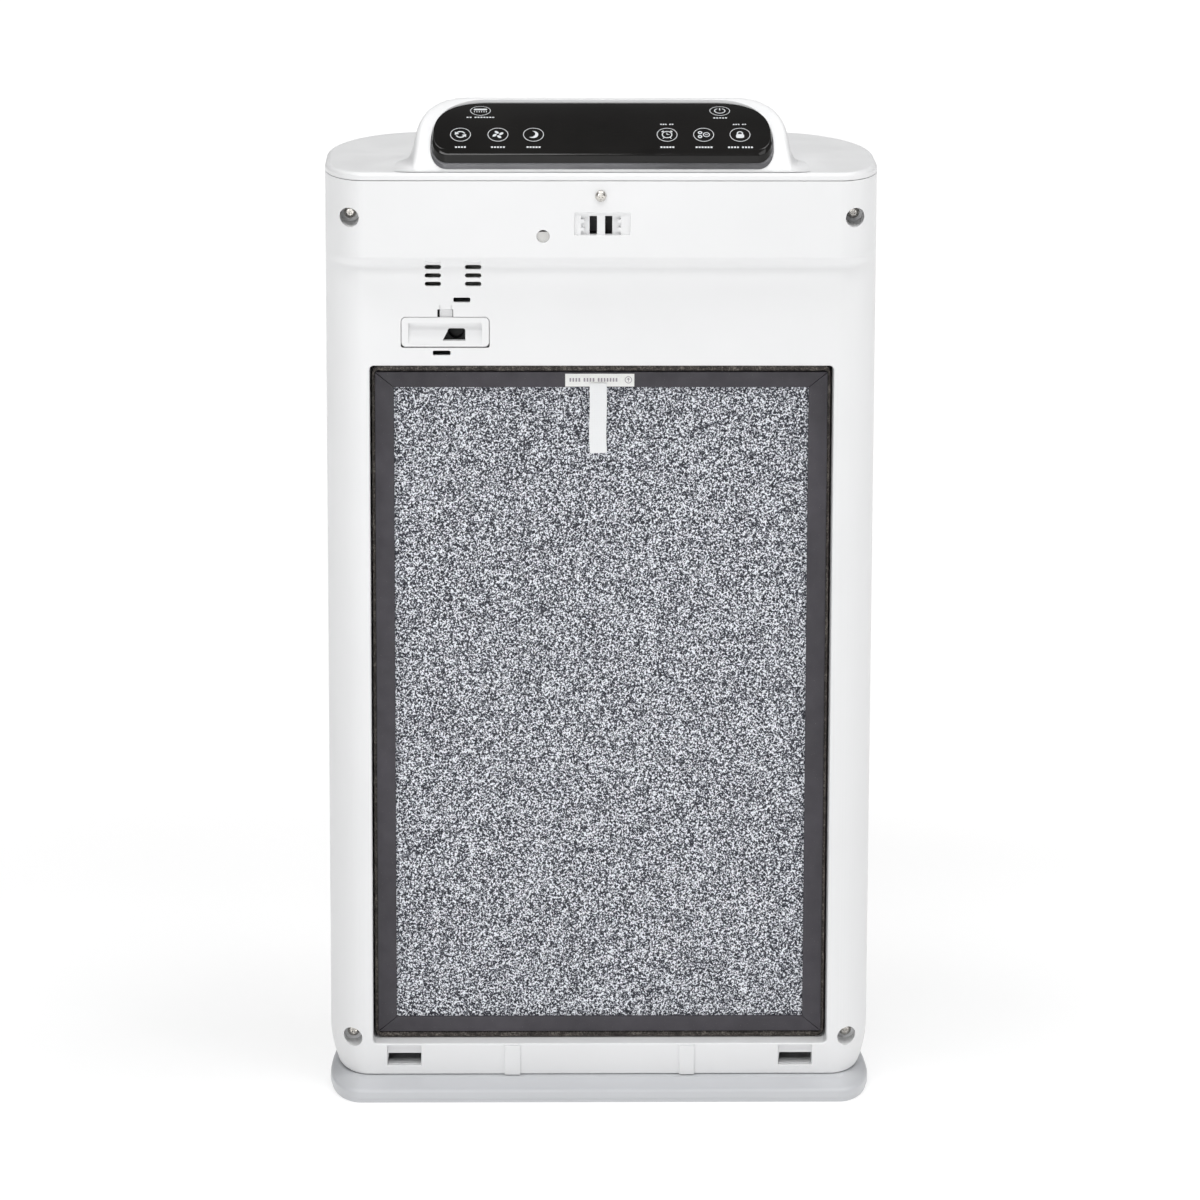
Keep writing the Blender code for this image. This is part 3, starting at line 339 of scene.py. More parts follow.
class Paint:
    """A node material under construction."""

    def __init__(self, name, colour, roughness, metallic=0.0, **settings):
        self.material = bpy.data.materials.new(name)
        self.material.use_nodes = True
        self.tree = self.material.node_tree
        self.shader = self.tree.nodes["Principled BSDF"]
        self.set("Base Color", (*colour, 1.0))
        self.set("Roughness", roughness)
        self.set("Metallic", metallic)
        for socket, value in settings.items():
            self.set(socket.replace("_", " "), value)
        self.place = self.tree.nodes.new("ShaderNodeTexCoord").outputs["Object"]
        self.normal = None

    def set(self, socket, value):
        self.shader.inputs[socket].default_value = value

    def feed(self, socket, value):
        """Links an output to a socket, or sets the socket to a plain value."""
        if isinstance(value, bpy.types.NodeSocket):
            self.tree.links.new(value, socket)
        else:
            socket.default_value = value

    def add(self, kind, **inputs):
        made = self.tree.nodes.new(kind)
        for key, value in inputs.items():
            self.feed(made.inputs[key.replace("_", " ")], value)
        return made

    def stretched(self, scale):
        return self.add("ShaderNodeMapping", Vector=self.place, Scale=scale).outputs["Vector"]

    def noise(self, scale, detail=2.0, roughness=0.5, place=None, distortion=0.0):
        made = self.add(
            "ShaderNodeTexNoise",
            Vector=place or self.place,
            Scale=scale,
            Detail=detail,
            Roughness=roughness,
            Distortion=distortion,
        )
        return made.outputs["Fac"]

    def cells(self, scale, randomness=1.0):
        made = self.add("ShaderNodeTexVoronoi", Vector=self.place, Scale=scale, Randomness=randomness)
        return made.outputs["Distance"]

    def mapped(self, value, low, high, to_low=0.0, to_high=1.0):
        ends = {"From_Min": low, "From_Max": high, "To_Min": to_low, "To_Max": to_high}
        return self.add("ShaderNodeMapRange", Value=value, **ends).outputs["Result"]

    def maths(self, operation, first, second):
        made = self.tree.nodes.new("ShaderNodeMath")
        made.operation = operation
        self.feed(made.inputs[0], first)
        self.feed(made.inputs[1], second)
        return made.outputs["Value"]

    def ramp(self, value, stops):
        """A colour ramp; each stop is (place, colour)."""
        made = self.add("ShaderNodeValToRGB", Fac=value)
        elements = made.color_ramp.elements
        while len(elements) < len(stops):
            elements.new(0.5)
        for element, (place, colour) in zip(elements, stops):
            element.position = place
            element.color = (*colour, 1.0)
        return made.outputs["Color"]

    def mixed(self, factor, first, second):
        made = self.tree.nodes.new("ShaderNodeMix")
        made.data_type = "RGBA"
        self.feed(made.inputs[0], factor)
        for socket, value in ((made.inputs[6], first), (made.inputs[7], second)):
            self.feed(socket, (*value, 1.0) if isinstance(value, tuple) else value)
        return made.outputs[2]

    def colour(self, value):
        self.tree.links.new(value, self.shader.inputs["Base Color"])

    def shades(self, value, colour, low, dark, high, light):
        """Colours by a value: the colour times dark at low, and times light at high."""
        self.colour(self.ramp(value, ((low, shade(colour, dark)), (high, shade(colour, light)))))

    def roughness(self, value, low, high, to_low, to_high):
        made = self.mapped(value, low, high, to_low, to_high)
        self.tree.links.new(made, self.shader.inputs["Roughness"])

    def bump(self, height, strength, distance):
        """Adds relief; distance is in millimetres."""
        made = self.add("ShaderNodeBump", Strength=strength, Distance=distance * MM, Height=height)
        if self.normal:
            self.tree.links.new(self.normal, made.inputs["Normal"])
        self.normal = made.outputs["Normal"]
        self.tree.links.new(self.normal, self.shader.inputs["Normal"])


def shade(colour, factor):
    return tuple(min(1.0, c * factor) for c in colour)


def moulded(name, colour, roughness, grain=0.12, tone=0.03, **settings):
    """Moulded plastic: a fine spark-eroded grain, faint flow mottling and uneven sheen."""
    paint = Paint(name, colour, roughness, **settings)
    flow = paint.noise(9.0, 3.0, 0.5)
    paint.shades(flow, colour, 0.3, 1.0 - tone, 0.7, 1.0 + tone * 0.4)
    paint.roughness(paint.noise(55.0, 4.0), 0.3, 0.7, roughness - 0.05, roughness + 0.05)
    paint.bump(paint.noise(1500.0, 2.0), grain, 0.05)
    paint.bump(flow, 0.15, 0.4)
    return paint.material


def glossy_black():
    """The touch panel: polished black with faint handling marks in its sheen."""
    colour = (0.0115, 0.011, 0.0106)
    paint = Paint("panel_black", colour, 0.07, Specular_IOR_Level=0.22)
    cloud = paint.noise(14.0, 4.0, 0.6)
    paint.shades(cloud, colour, 0.3, 0.8, 0.75, 1.35)
    paint.roughness(paint.noise(38.0, 5.0, 0.65), 0.35, 0.75, 0.05, 0.13)
    paint.bump(paint.noise(8.0, 1.0), 0.1, 0.3)
    return paint.material


def smoked():
    """The light guide under the panel's edge: smoked grey with a milky cloud in it."""
    paint = Paint("smoked_grey", (0.16, 0.16, 0.17), 0.22, Subsurface_Weight=0.25, Subsurface_Scale=0.002)
    paint.set("Subsurface Radius", (1.0, 1.0, 1.1))
    cloud = paint.noise(30.0, 3.0, 0.6, paint.stretched((0.5, 1.0, 2.0)))
    paint.colour(paint.ramp(cloud, ((0.3, (0.07, 0.07, 0.074)), (0.7, (0.165, 0.165, 0.176)))))
    paint.bump(paint.noise(420.0, 2.0), 0.08, 0.05)
    return paint.material


def carbon_cloth():
    """Black granules under white fibres: a worm-like speckle at about a millimetre."""
    dark, pale = (0.028, 0.029, 0.037), (0.93, 0.95, 1.0)
    paint = Paint("carbon_cloth", (0.3, 0.31, 0.33), 0.85)
    worms = paint.noise(1000.0, 2.0, 0.55, distortion=0.5)
    flecks = paint.noise(1250.0, 2.0, 0.6)
    patches = paint.noise(75.0, 3.0, 0.55)
    speckle = paint.maths("ADD", worms, paint.maths("MULTIPLY", flecks, 0.55))
    speckle = paint.maths("ADD", speckle, paint.maths("MULTIPLY", patches, 0.05))
    stops = ((0.0, dark), (0.34, (0.085, 0.09, 0.11)), (0.55, (0.37, 0.385, 0.43)), (0.78, pale))
    paint.colour(paint.ramp(paint.mapped(speckle, 0.705, 0.945), stops))
    paint.roughness(speckle, 0.75, 1.05, 0.95, 0.6)
    paint.bump(speckle, 0.7, 0.9)
    return paint.material


def foam():
    """Dark open foam with dust in its cells."""
    paint = Paint("dusty_foam", (0.03, 0.027, 0.023), 0.95)
    cells = paint.cells(1100.0)
    dust = paint.noise(260.0, 4.0, 0.7)
    mix = paint.maths("ADD", paint.maths("MULTIPLY", cells, 0.5), dust)
    stops = ((0.0, (0.02, 0.018, 0.017)), (0.55, (0.07, 0.062, 0.056)), (1.0, (0.22, 0.20, 0.175)))
    paint.colour(paint.ramp(paint.mapped(mix, 0.45, 1.05), stops))
    paint.bump(cells, 0.9, 0.5)
    return paint.material


def dark_card():
    """The cartridge's coated card frame, with specks of dust and a faint cloud of lighter and darker tone.
    """
    colour = (0.048, 0.044, 0.053)
    paint = Paint("dusty_card", colour, 0.62)
    cloud = paint.noise(22.0, 4.0, 0.6)
    base = paint.ramp(cloud, ((0.3, shade(colour, 0.78)), (0.7, shade(colour, 1.22))))
    specks = paint.mapped(paint.noise(1500.0, 1.0, 0.5), 0.70, 0.78, 0.0, 0.5)
    paint.colour(paint.mixed(specks, base, (0.26, 0.24, 0.22)))
    paint.roughness(paint.noise(120.0, 3.0), 0.3, 0.7, 0.52, 0.72)
    paint.bump(paint.noise(900.0, 3.0), 0.25, 0.08)
    return paint.material


def fibrous(name, colour, roughness, grain, shades, relief, stretch=None):
    """Paper or ink: uneven at the scale of its fibres. grain is the noise's scale, detail and
    roughness, and relief is the bump's strength and height."""
    paint = Paint(name, colour, roughness)
    fibres = paint.noise(*grain, paint.stretched(stretch) if stretch else None)
    paint.shades(fibres, colour, *shades)
    paint.bump(fibres, *relief)
    return paint.material


def tape_cloth():
    """Non-woven tape, embossed with rows of small points."""
    colour = (0.86, 0.87, 0.88)
    paint = Paint("tape_cloth", colour, 0.8, Sheen_Weight=0.2)
    points = paint.cells(950.0, randomness=0.15)
    fibres = paint.noise(1700.0, 4.0, 0.7, paint.stretched((1.0, 1.0, 0.4)))
    paint.shades(paint.maths("ADD", points, fibres), colour, 0.4, 0.93, 0.9, 1.0)
    paint.bump(points, 0.35, 0.12)
    paint.bump(fibres, 0.2, 0.05)
    return paint.material


def metal(name, colour, roughness, stretch=(1.0, 1.0, 1.0)):
    """Plated or pressed steel with fine scratches along one way and dull patches."""
    paint = Paint(name, colour, roughness, 1.0)
    scratches = paint.noise(1100.0, 5.0, 0.65, paint.stretched(stretch))
    patches = paint.noise(90.0, 4.0, 0.6)
    paint.shades(patches, colour, 0.3, 0.82, 0.7, 1.08)
    mix = paint.maths("ADD", scratches, paint.maths("MULTIPLY", patches, 0.6))
    paint.roughness(mix, 0.5, 1.1, roughness - 0.08, roughness + 0.14)
    paint.bump(scratches, 0.12, 0.03)
    return paint.material


def rubber():
    colour = (0.028, 0.028, 0.028)
    paint = Paint("black_rubber", colour, 0.8)
    worn = paint.noise(70.0, 5.0, 0.65)
    paint.shades(worn, colour, 0.3, 0.7, 0.75, 2.0)
    paint.roughness(worn, 0.3, 0.7, 0.68, 0.9)
    paint.bump(paint.noise(1200.0, 2.0), 0.25, 0.08)
    return paint.material


def circuit():
    """Green solder mask over copper tracks."""
    paint = Paint("solder_mask", (0.02, 0.13, 0.06), 0.35)
    tracks = paint.cells(170.0, 0.6)
    tracks.node.distance = "MANHATTAN"
    lines = paint.maths("PINGPONG", tracks, 0.12)
    line = paint.mapped(lines, 0.045, 0.06)
    paint.colour(paint.mixed(line, (0.045, 0.21, 0.09), (0.015, 0.10, 0.05)))
    paint.bump(line, 0.3, 0.04)
    return paint.material


def quartz():
    paint = Paint("quartz", (0.93, 0.95, 0.97), 0.04, Transmission_Weight=0.92, IOR=1.46)
    haze = paint.noise(60.0, 3.0, 0.6)
    paint.roughness(haze, 0.3, 0.8, 0.02, 0.18)
    paint.colour(paint.ramp(haze, ((0.3, (0.93, 0.95, 0.97)), (0.8, (0.80, 0.84, 0.90)))))
    paint.bump(haze, 0.05, 0.1)
    return paint.material


WHITE = moulded("housing_white", (0.850, 0.853, 0.858), 0.42, Coat_Weight=0.08, Coat_Roughness=0.35)
INNER = moulded("inner_white", (0.74, 0.735, 0.715), 0.55, grain=0.2, tone=0.06)
BASE_GREY = moulded("base_grey", (0.58, 0.59, 0.61), 0.36, Coat_Weight=0.15, Coat_Roughness=0.3)
GRILLE_GREY = moulded("grille_grey", (0.50, 0.51, 0.53), 0.5, grain=0.2)
BLACK = moulded("black_plastic", (0.022, 0.022, 0.024), 0.5, grain=0.25, tone=0.2)
PANEL_BLACK, SMOKED = glossy_black(), smoked()
CARBON, FOAM, CARD, TAPE = carbon_cloth(), foam(), dark_card(), tape_cloth()
RUBBER, CIRCUIT, QUARTZ = rubber(), circuit(), quartz()
PLEAT_GRAIN, PLEAT_SHADES = (1300.0, 4.0, 0.7), (0.3, 0.86, 0.7, 1.04)
PLEAT_STRETCH = (1.0, 1.0, 0.35)
PLEATS = fibrous(
    "pleated_paper", (0.80, 0.81, 0.82), 0.9, PLEAT_GRAIN, PLEAT_SHADES, (0.3, 0.12), PLEAT_STRETCH
)
LABEL_GRAIN, LABEL_SHADES = (900.0, 5.0, 0.7), (0.3, 0.95, 0.7, 1.03)
PAPER = fibrous("label_paper", (0.93, 0.93, 0.91), 0.7, LABEL_GRAIN, LABEL_SHADES, (0.12, 0.05))
INK_GRAIN, INK_SHADES = (1600.0, 3.0, 0.6), (0.25, 0.82, 0.6, 1.0)
PALE_INK = fibrous("pale_ink", (0.72, 0.74, 0.76), 0.55, INK_GRAIN, INK_SHADES, (0.05, 0.02))
GREY_INK = fibrous("grey_ink", (0.36, 0.33, 0.37), 0.55, INK_GRAIN, INK_SHADES, (0.05, 0.02))
NICKEL = metal("nickel", (0.64, 0.62, 0.585), 0.26)
ZINC = metal("pressed_zinc", (0.47, 0.475, 0.48), 0.38, (1.0, 1.0, 0.15))


# ---------------------------------------------------------------- pieces


def finish(obj, material, replaces=(), body="housing", sharp=35.0):
    """Gives a piece its material and its clean shading, and makes it ride on its body."""
    obj.data.materials.clear()
    obj.data.materials.append(material)
    obj.data.shade_smooth()
    obj.data.set_sharp_from_angle(angle=math.radians(sharp))
    weighted = obj.modifiers.new("even_faces", "WEIGHTED_NORMAL")
    weighted.keep_sharp = True
    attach(obj, body)
    if replaces:
        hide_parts(*replaces)


def carry(node, material, edge=0.0):
    """Keeps a CAD node, with welded vertices, softened edges and a finished material."""
    obj = frame["nodes"][node]
    obj.data.materials.clear()
    obj.data.materials.append(material)
    weld = obj.modifiers.new("weld", "WELD")
    weld.merge_threshold = 1e-6
    if edge:
        bevel = obj.modifiers.new("edges", "BEVEL")
        bevel.width = edge * MM
        bevel.segments = 2
        bevel.limit_method = "ANGLE"
        bevel.angle_limit = math.radians(32.0)
    smooth = obj.modifiers.new("even_faces", "WEIGHTED_NORMAL")
    smooth.keep_sharp = True


def plan_side(z, front, inset=0.0, tuck=0.0):
    """The right half of the housing's outline at one height, from front to back."""
    front_rx = FRONT_CORNER_RX - inset - tuck
    front_ry = FRONT_CORNER[1] - front - inset
    back_radii = (BACK_CORNER_RX - inset - tuck, BODY_BACK - inset)
    corner = quarter(FRONT_CORNER, (front_rx, front_ry), 3, 22)
    tail = quarter(BACK_CORNER, back_radii, 0, 30)
    return [(x, y, z) for x, y in corner + tail]


def tuck_at(z):
    """How far the sides have curved in at this height."""
    drop = max(0.0, TUCK_START - z)
    return TUCK_RADIUS - math.sqrt(TUCK_RADIUS**2 - drop**2)


def band_front(z):
    """Where the front face is at this height: the band stands proud, with a rounded lower edge."""
    share = min(1.0, max(0.0, (z - BAND_BOTTOM) / BAND_RISE))
    eased = 1.5 * share**2 if share < 0.3 else 0.135 + 0.865 * math.sin((share - 0.3) / 0.7 * math.pi / 2)
    return FACE + (BAND_FACE - FACE) * eased


def housing_levels(bottom, top, inset, edge=0.0):
    """The housing's outlines from bottom to top. Its top edge is rounded over edge."""
    levels = [plan_side(bottom, FACE, inset + 0.6, tuck_at(bottom))] if not inset else []
    heights = [bottom + 0.6 if not inset else bottom]
    tuck = [13.0, 14.0, 15.5, 17.0, 19.0, 21.0, 23.5, 26.0, 29.0, 31.5, TUCK_START]
    heights += [z for z in tuck if z > bottom + 0.9]
    heights += [BAND_BOTTOM + BAND_RISE * i / 14 for i in range(15)]
    for z in heights:
        levels.append(plan_side(z, band_front(z), inset, tuck_at(z)))
    if edge:
        for turn in (0.0, math.pi / 4, math.pi / 2):
            slide, rise = edge * (1 - math.cos(turn)), edge * math.sin(turn)
            levels.append(plan_side(top - edge + rise, BAND_FACE, inset + slide))
    else:
        levels.append(plan_side(top, BAND_FACE, inset))
    return levels


def housing_half(name, keep_front, kept_solids):
    """One half of the housing's shell. kept_solids stay filled where they cross its hollow."""
    shell = mirrored_loft(name, housing_levels(BODY_BOTTOM, CAP_SEAM, 0.0, edge=0.45))
    hollow = mirrored_loft("hollow", housing_levels(BODY_BOTTOM + 2.3, CAP_SEAM + 5.0, WALL))
    cut(hollow, *kept_solids)
    beyond = (PARTING, 200.0) if keep_front else (-200.0, PARTING + GAP)
    return cut(shell, hollow, box("other_half", (-200.0, 200.0), beyond, (-10.0, 600.0)))


def front_cutters():
    """The filter bay, the screw wells, and every slot and pocket in the front face."""
    def flared(name, rect, corner, front, edge, back=SKIN_BACK):
        cutters.append(block(name, rect, corner, front, back, edge, flare=True))

    cutters = []
    flared("bay", BAY, 2.6, FACE, 0.9, BAY_BACK + 5)
    for place in WELLS.values():
        cutters.append(rod("well", place, WELL_RADIUS, AHEAD, WELL_FLOOR))
        cutters.append(rod("screw_hole", place, SCREW_HOLE, WELL_FLOOR - 1, 0.0))
    for place in BASE_SCREWS.values():
        if place.y < PARTING:
            cutters.append(rod("screw_hole", place, SCREW_HOLE, HEAD_SEAT, 20.0, "Z"))
    shallow, pocket_floor = BAND_FACE + 2.0, BAND_FACE + LATCH_DEPTH
    flared("pocket", LATCH_POCKET, 0.5, BAND_FACE, 0.35, shallow)
    low, high = LATCH_POCKET[2] + 0.1, LATCH_POCKET[3] - 2.2
    for x, out in zip(LATCH_SLITS, (-1.0, 1.0)):
        slit = (x - LATCH_SLIT_HALF, x + LATCH_SLIT_HALF, low, high)
        flared("latch_slit", slit, 0.3, shallow, 0.2, BAND_FACE + 12)
        near, far, beyond = x + out * 1.5, x + out * 5.2, x + out * 7.0
        depth = (shallow - 1, pocket_floor)
        cutters.append(box("sink", sorted((near, far)), depth, (low, high)))
        for bottom, top in ((0.0, 2.2), (4.1, 6.9), (8.8, high - low)):
            cutters.append(box("tooth_gap", sorted((far - out, beyond)), depth, (low + bottom, low + top)))
    screw = disc_rect(LATCH_SCREW.x, LATCH_SCREW.z, SCREW_HOLE)
    flared("screw_hole", screw, SCREW_HOLE, BAND_FACE, 0.25)
    flared("interlock_hole", disc_rect(*INTERLOCK, INTERLOCK_RADIUS), INTERLOCK_RADIUS, BAND_FACE, 0.4)
    for left, right, z in VENTS:
        slot = (left, right, z - SLOT_HEIGHT / 2, z + SLOT_HEIGHT / 2)
        flared("slot", slot, SLOT_HEIGHT / 2, band_front(z), 0.3)
    for left, right, z in LONE_SLOTS:
        flared("slot", (left, right, z - LONE_HEIGHT / 2, z + LONE_HEIGHT / 2), 0.8, FACE, 0.3)
    for left, right, z in VENTS:
        if z > 490.0:
            cutters.append(box("vent_notch", (left + 0.3, right - 0.3), (AHEAD, -84.2), (497.2, 498.7)))
    left, right, bottom, top = DOOR
    flared("door_opening", (left - GAP, right + GAP, bottom - 2 * GAP, top + GAP), 2.9, FACE, 0.25)
    swing = (left - GAP + 0.01, right + GAP - 0.01, bottom - 2 * GAP + 0.01, bottom + 6.0)
    flared("door_swing", swing, 1.3, FACE, 0.25)  # lets the open door's lower corners pass
    flared("door_notch", (*NOTCH, top - 1, NOTCH_TOP), 0.3, FACE, 0.25)
    ticks = (NOTCH_TOP - 0.4, NOTCH_TOP + 2.5)
    for x, width in ((NOTCH[0] + 1.4, 0.35), (NOTCH[1] - 0.9, 0.6)):
        cutters.append(box("notch_tick", (x - width / 2, x + width / 2), (-85.0, FACE + 1.2), ticks))
    for left, right in HOOK_SLOTS:
        flared("hook_pocket", (left, right, HOOK_BOTTOM - 0.4, HOOK_TOP), 0.4, FACE, 0.35, FACE + 3.5)
        slot = [(left, 17.4), (right, 17.4), (right, HOOK_SPLIT), (left + 0.9, HOOK_SPLIT)]
        cutters.append(loft("hook_slot", [[(x, y, z) for x, z in slot] for y in (FACE + 1, FACE + 20)]))
    return cutters


def front_shell():
    left, right, bottom, top = grown(BAY, BAY_WALL)
    kept = [box("bay_wall", (left, right), (FACE - 20.0, BAY_BACK), (bottom, top))]
    for place in WELLS.values():
        kept.append(rod("boss", place, WELL_RADIUS + 2, BAND_FACE - 10, PILLAR_FRONT))
    left, right, bottom, top = grown(LATCH_POCKET, 2.0)
    depth = (BAND_FACE - 10, BAND_FACE + LATCH_DEPTH + 2)
    kept.append(box("latch_wall", (left, right), depth, (bottom, top)))
    for left, right in HOOK_SLOTS:
        kept.append(box("hook_wall", (left - 2, right + 2), (FACE - 10, FACE + 14), (12.0, BAY[2] - 1)))
    shell = housing_half("front_shell", True, kept)
    for left, right in RIBS:
        rect = (left, right, BODY_BOTTOM + 0.2, BAY[2] - 0.2)
        join(shell, block("rib", rect, 0.3, FACE - 2.2, FACE + 1, 0.2))
    cut(shell, *front_cutters())
    finish(shell, WHITE, ["front_housing"])


def handle_recess():
    """The cutter of the carrying grip: its ceiling rises inwards, and its mouth is rounded."""
    levels = []
    for depth, change in ((-6.0, 2.0), (0.0, 2.0), (0.15, 1.25), (0.55, 0.6), (1.2, 0.15), (2.0, 0.0)):
        levels.append((BODY_BACK - depth, grown(HANDLE, change), 9.0 + change))
    inner = (HANDLE[0], HANDLE[1], HANDLE[2], HANDLE_TOP)
    levels.append((HANDLE_BACK + 2.0, inner, 9.0))
    levels.append((HANDLE_BACK + 0.6, grown(inner, -0.6), 8.4))
    levels.append((HANDLE_BACK, grown(inner, -2.0), 7.0))
    return loft("handle_recess", [[(x, y, z) for x, z in rounded_loop(r, c, 12)] for y, r, c in levels])


def rear_shell():
    width, low = HANDLE[1], HANDLE[2]
    deep = (HANDLE_BACK - WALL, BODY_BACK + 20)
    kept = [box("handle_cup", (-width - WALL, width + WALL), deep, (low - WALL, HANDLE_TOP + WALL))]
    for place in WELLS.values():
        kept.append(rod("pillar", place, WELL_RADIUS, PARTING - 10, 24.0))
        side = sorted((place.x, math.copysign(170.0, place.x)))
        kept.append(box("gusset", side, (PARTING - 10, 24.0), (place.z - 1.2, place.z + 1.2)))
    shell = housing_half("rear_shell", False, kept)
    cut(shell, handle_recess())
    for place in WELLS.values():
        join(shell, rod("pillar", place, WELL_RADIUS, PILLAR_FRONT + GAP, 0.0))
        cut(shell, rod("screw_hole", place, SCREW_HOLE, PILLAR_FRONT - 5, -28.0))
    cut(shell, rod("gland_hole", GLAND, 8.0, 80.0, 120.0))
    for place in BASE_SCREWS.values():
        if place.y > PARTING:
            cut(shell, rod("hole", place, SCREW_HOLE, HEAD_SEAT, 20.0, "Z"))
    finish(shell, WHITE, ["rear_housing"])


def deck_cap():
    rise = [(CAP_SEAM + GAP, 0.35), (CAP_SEAM + GAP + 0.15, 0.1), (CAP_SEAM + GAP + 0.4, 0.0)]
    for i in range(9):
        turn = i / 8 * math.pi / 2
        rise.append((DECK - 2.4 + 2.4 * math.sin(turn), 3.4 * (1 - math.cos(turn))))
    shell = mirrored_loft("deck_cap", [plan_side(z, BAND_FACE, inset) for z, inset in rise])
    under = [plan_side(z, BAND_FACE, WALL) for z in (CAP_SEAM - 1, DECK - 2.4)]
    cut(shell, mirrored_loft("underside", under))
    width, front, back = GRILLE_HIGH.x + GAP, GRILLE_LOW.y - GAP, GRILLE_HIGH.y + GAP
    cut(shell, box("mouth", (-width, width), (front, back), (540.0, 560.0)))
    cut(shell, box("cable_hole", (-20.0, 20.0), (-50.0, -36.0), (540.0, 560.0)))
    finish(shell, WHITE, ["top_cap"])


def base_side(z, inset):
    wide = BASE_HIGH.x - BASE_SLIM - inset
    corner = quarter((141.0, -52.0), (wide - 141.0, 48.0 - inset), 3, 22)
    tail = quarter((103.0, -52.0), (wide - 103.0, BASE_HIGH.y + 52.0 - inset), 0, 36)
    return [(x, y, z) for x, y in corner + tail]


def plinth():
    """The base: an upright rim with rounded edges, and a sloping top that the housing stands on."""
    rise = [(0.1, 1.3), (0.25, 0.9), (0.5, 0.75), (2.3, 0.6), (2.45, 0.5), (2.6, 0.1), (2.8, 0.0)]
    rise += [(6.1, 0.0), (6.9, 0.25), (7.6, 0.9), (8.2, 1.9), (8.9, 4.2), (11.1, 12.6), (11.4, 14.0)]
    shell = mirrored_loft("plinth", [base_side(z, inset) for z, inset in rise])
    hollow = mirrored_loft("hollow", [base_side(z, 6.0) for z in (-2.0, 5.4)])
    for place in FEET.values():
        cut(hollow, rod("keep", place, FOOT_RADIUS + 2.3, -5.0, 9.0, "Z"))
    for place in BASE_SCREWS.values():
        cut(hollow, rod("keep", place, 6.0, -5.0, 9.0, "Z"))
    cut(shell, hollow)
    for place in FEET.values():
        cut(shell, rod("seat", place, FOOT_RADIUS + GAP, -5.0, FOOT_HEIGHT + GAP, "Z"))
    for place in BASE_SCREWS.values():
        cut(shell, rod("head_seat", place, SCREW_HEAD_RADIUS + GAP, -5.0, HEAD_SEAT, "Z"))
        cut(shell, rod("hole", place, SCREW_HOLE, -5.0, 20.0, "Z"))
    finish(shell, BASE_GREY, ["base"])


def feet():
    for corner, place in FEET.items():
        radius, top = FOOT_RADIUS, FOOT_HEIGHT
        profile = [(0, 0.35), (3.2, 0.35), (3.6, 0.0), (radius - 0.9, 0.0), (radius - 0.25, 0.25)]
        profile += [(radius, 0.9), (radius, top - 0.3), (radius - 0.3, top), (0, top)]
        foot = turned(f"rubber_foot_{corner}", profile, (place.x, place.y, 0), "Z")
        finish(foot, RUBBER, [f"foot_{corner}"])


# ---------------------------------------------------------------- control pod


def pod_side(half_width, front, back, height_at, nose=4.0, tail=(0.29, 0.62)):
    """The right half of a rounded outline in plan, raised to the height that height_at gives. nose is
    its corner radius, and tail is the tail's shares of the width and the depth."""
    flank_steps = 10
    back_radii = (tail[0] * half_width, tail[1] * (back - front))
    nose_centre = (half_width - nose, front + nose)
    tail_centre = (half_width - back_radii[0], back - back_radii[1])
    loop = quarter(nose_centre, (nose, nose), 3, 10)
    for i in range(1, flank_steps):
        share = i / flank_steps
        loop.append((half_width, nose_centre[1] * (1 - share) + tail_centre[1] * share))
    loop += quarter(tail_centre, back_radii, 0, 26)
    return [(x, y, height_at(y)) for x, y in loop]


def arc_height(y, drop=0.0):
    """The height of the panel's arc at a depth, less drop."""
    return ARC_Z + math.sqrt(ARC_RADIUS**2 - (y - ARC_Y) ** 2) - drop


def face_height(y, drop=0.0):
    """The height of the glass's upper face at a depth, less drop."""
    crest = ARC_Z + ARC_RADIUS
    return crest - FACE_RADIUS + math.sqrt(FACE_RADIUS**2 - (y - ARC_Y) ** 2) - drop


def rim_height(y):
    """The pod's rim: below the glass at the front, and a little above it at the back."""
    share = min(1.0, max(0.0, (y + 79.0) / 49.0))
    return arc_height(max(y, -79.0)) - 6.0 + 7.8 * share


def spline(a, b, c, d, t):
    """A number between b and c, on a smooth curve through a, b, c and d."""
    return b + 0.5 * t * (c - a + t * (2 * a - 5 * b + 4 * c - d + t * (3 * (b - c) + d - a)))


def smoothed(rows, steps):
    """Rows of numbers with more put between them, on a curve through them all."""
    made, padded = [], [rows[0], *rows, rows[-1]]
    for i in range(len(rows) - 1):
        for k in range(steps):
            made.append([spline(*four, k / steps) for four in zip(*padded[i : i + 4])])
    return made + [rows[-1]]


def recess_height(y):
    """The height of the floor that the panel's parts lie on."""
    return min(arc_height(y, RECESS_DROP), rim_height(y) - 0.5)


def pod_shell():
    foot = DECK + GAP

    def height(share, below=0.0):
        return lambda y: foot + share * (rim_height(y) - foot) - below

    levels = [pod_side(w, f, b, height(s)) for w, f, b, s in smoothed(POD_RINGS, 5)]
    half, front, back = PANEL[0] + 0.9, PANEL[1] - 0.9, PANEL[2] + 0.9
    nose = PANEL_NOSE + 0.9
    for grow, below in ((0.6, 0.0), (0.25, 0.1), (0.05, 0.35)):
        edge = (half + grow, front - grow, back + grow)
        levels.append(pod_side(*edge, height(1.0, below), nose + grow, PANEL_TAIL))
    levels.append(pod_side(half, front, back, recess_height, nose, PANEL_TAIL))
    shell = mirrored_loft("pod_shell", levels)
    low = pod_side(100.0, -74.0, -20.0, lambda y: DECK - 3.0)
    high = pod_side(97.0, -73.0, -30.0, lambda y: arc_height(y, RECESS_FLOOR_DROP))
    cut(shell, mirrored_loft("hollow", [low, high]))
    finish(shell, WHITE, ["control_pod"])


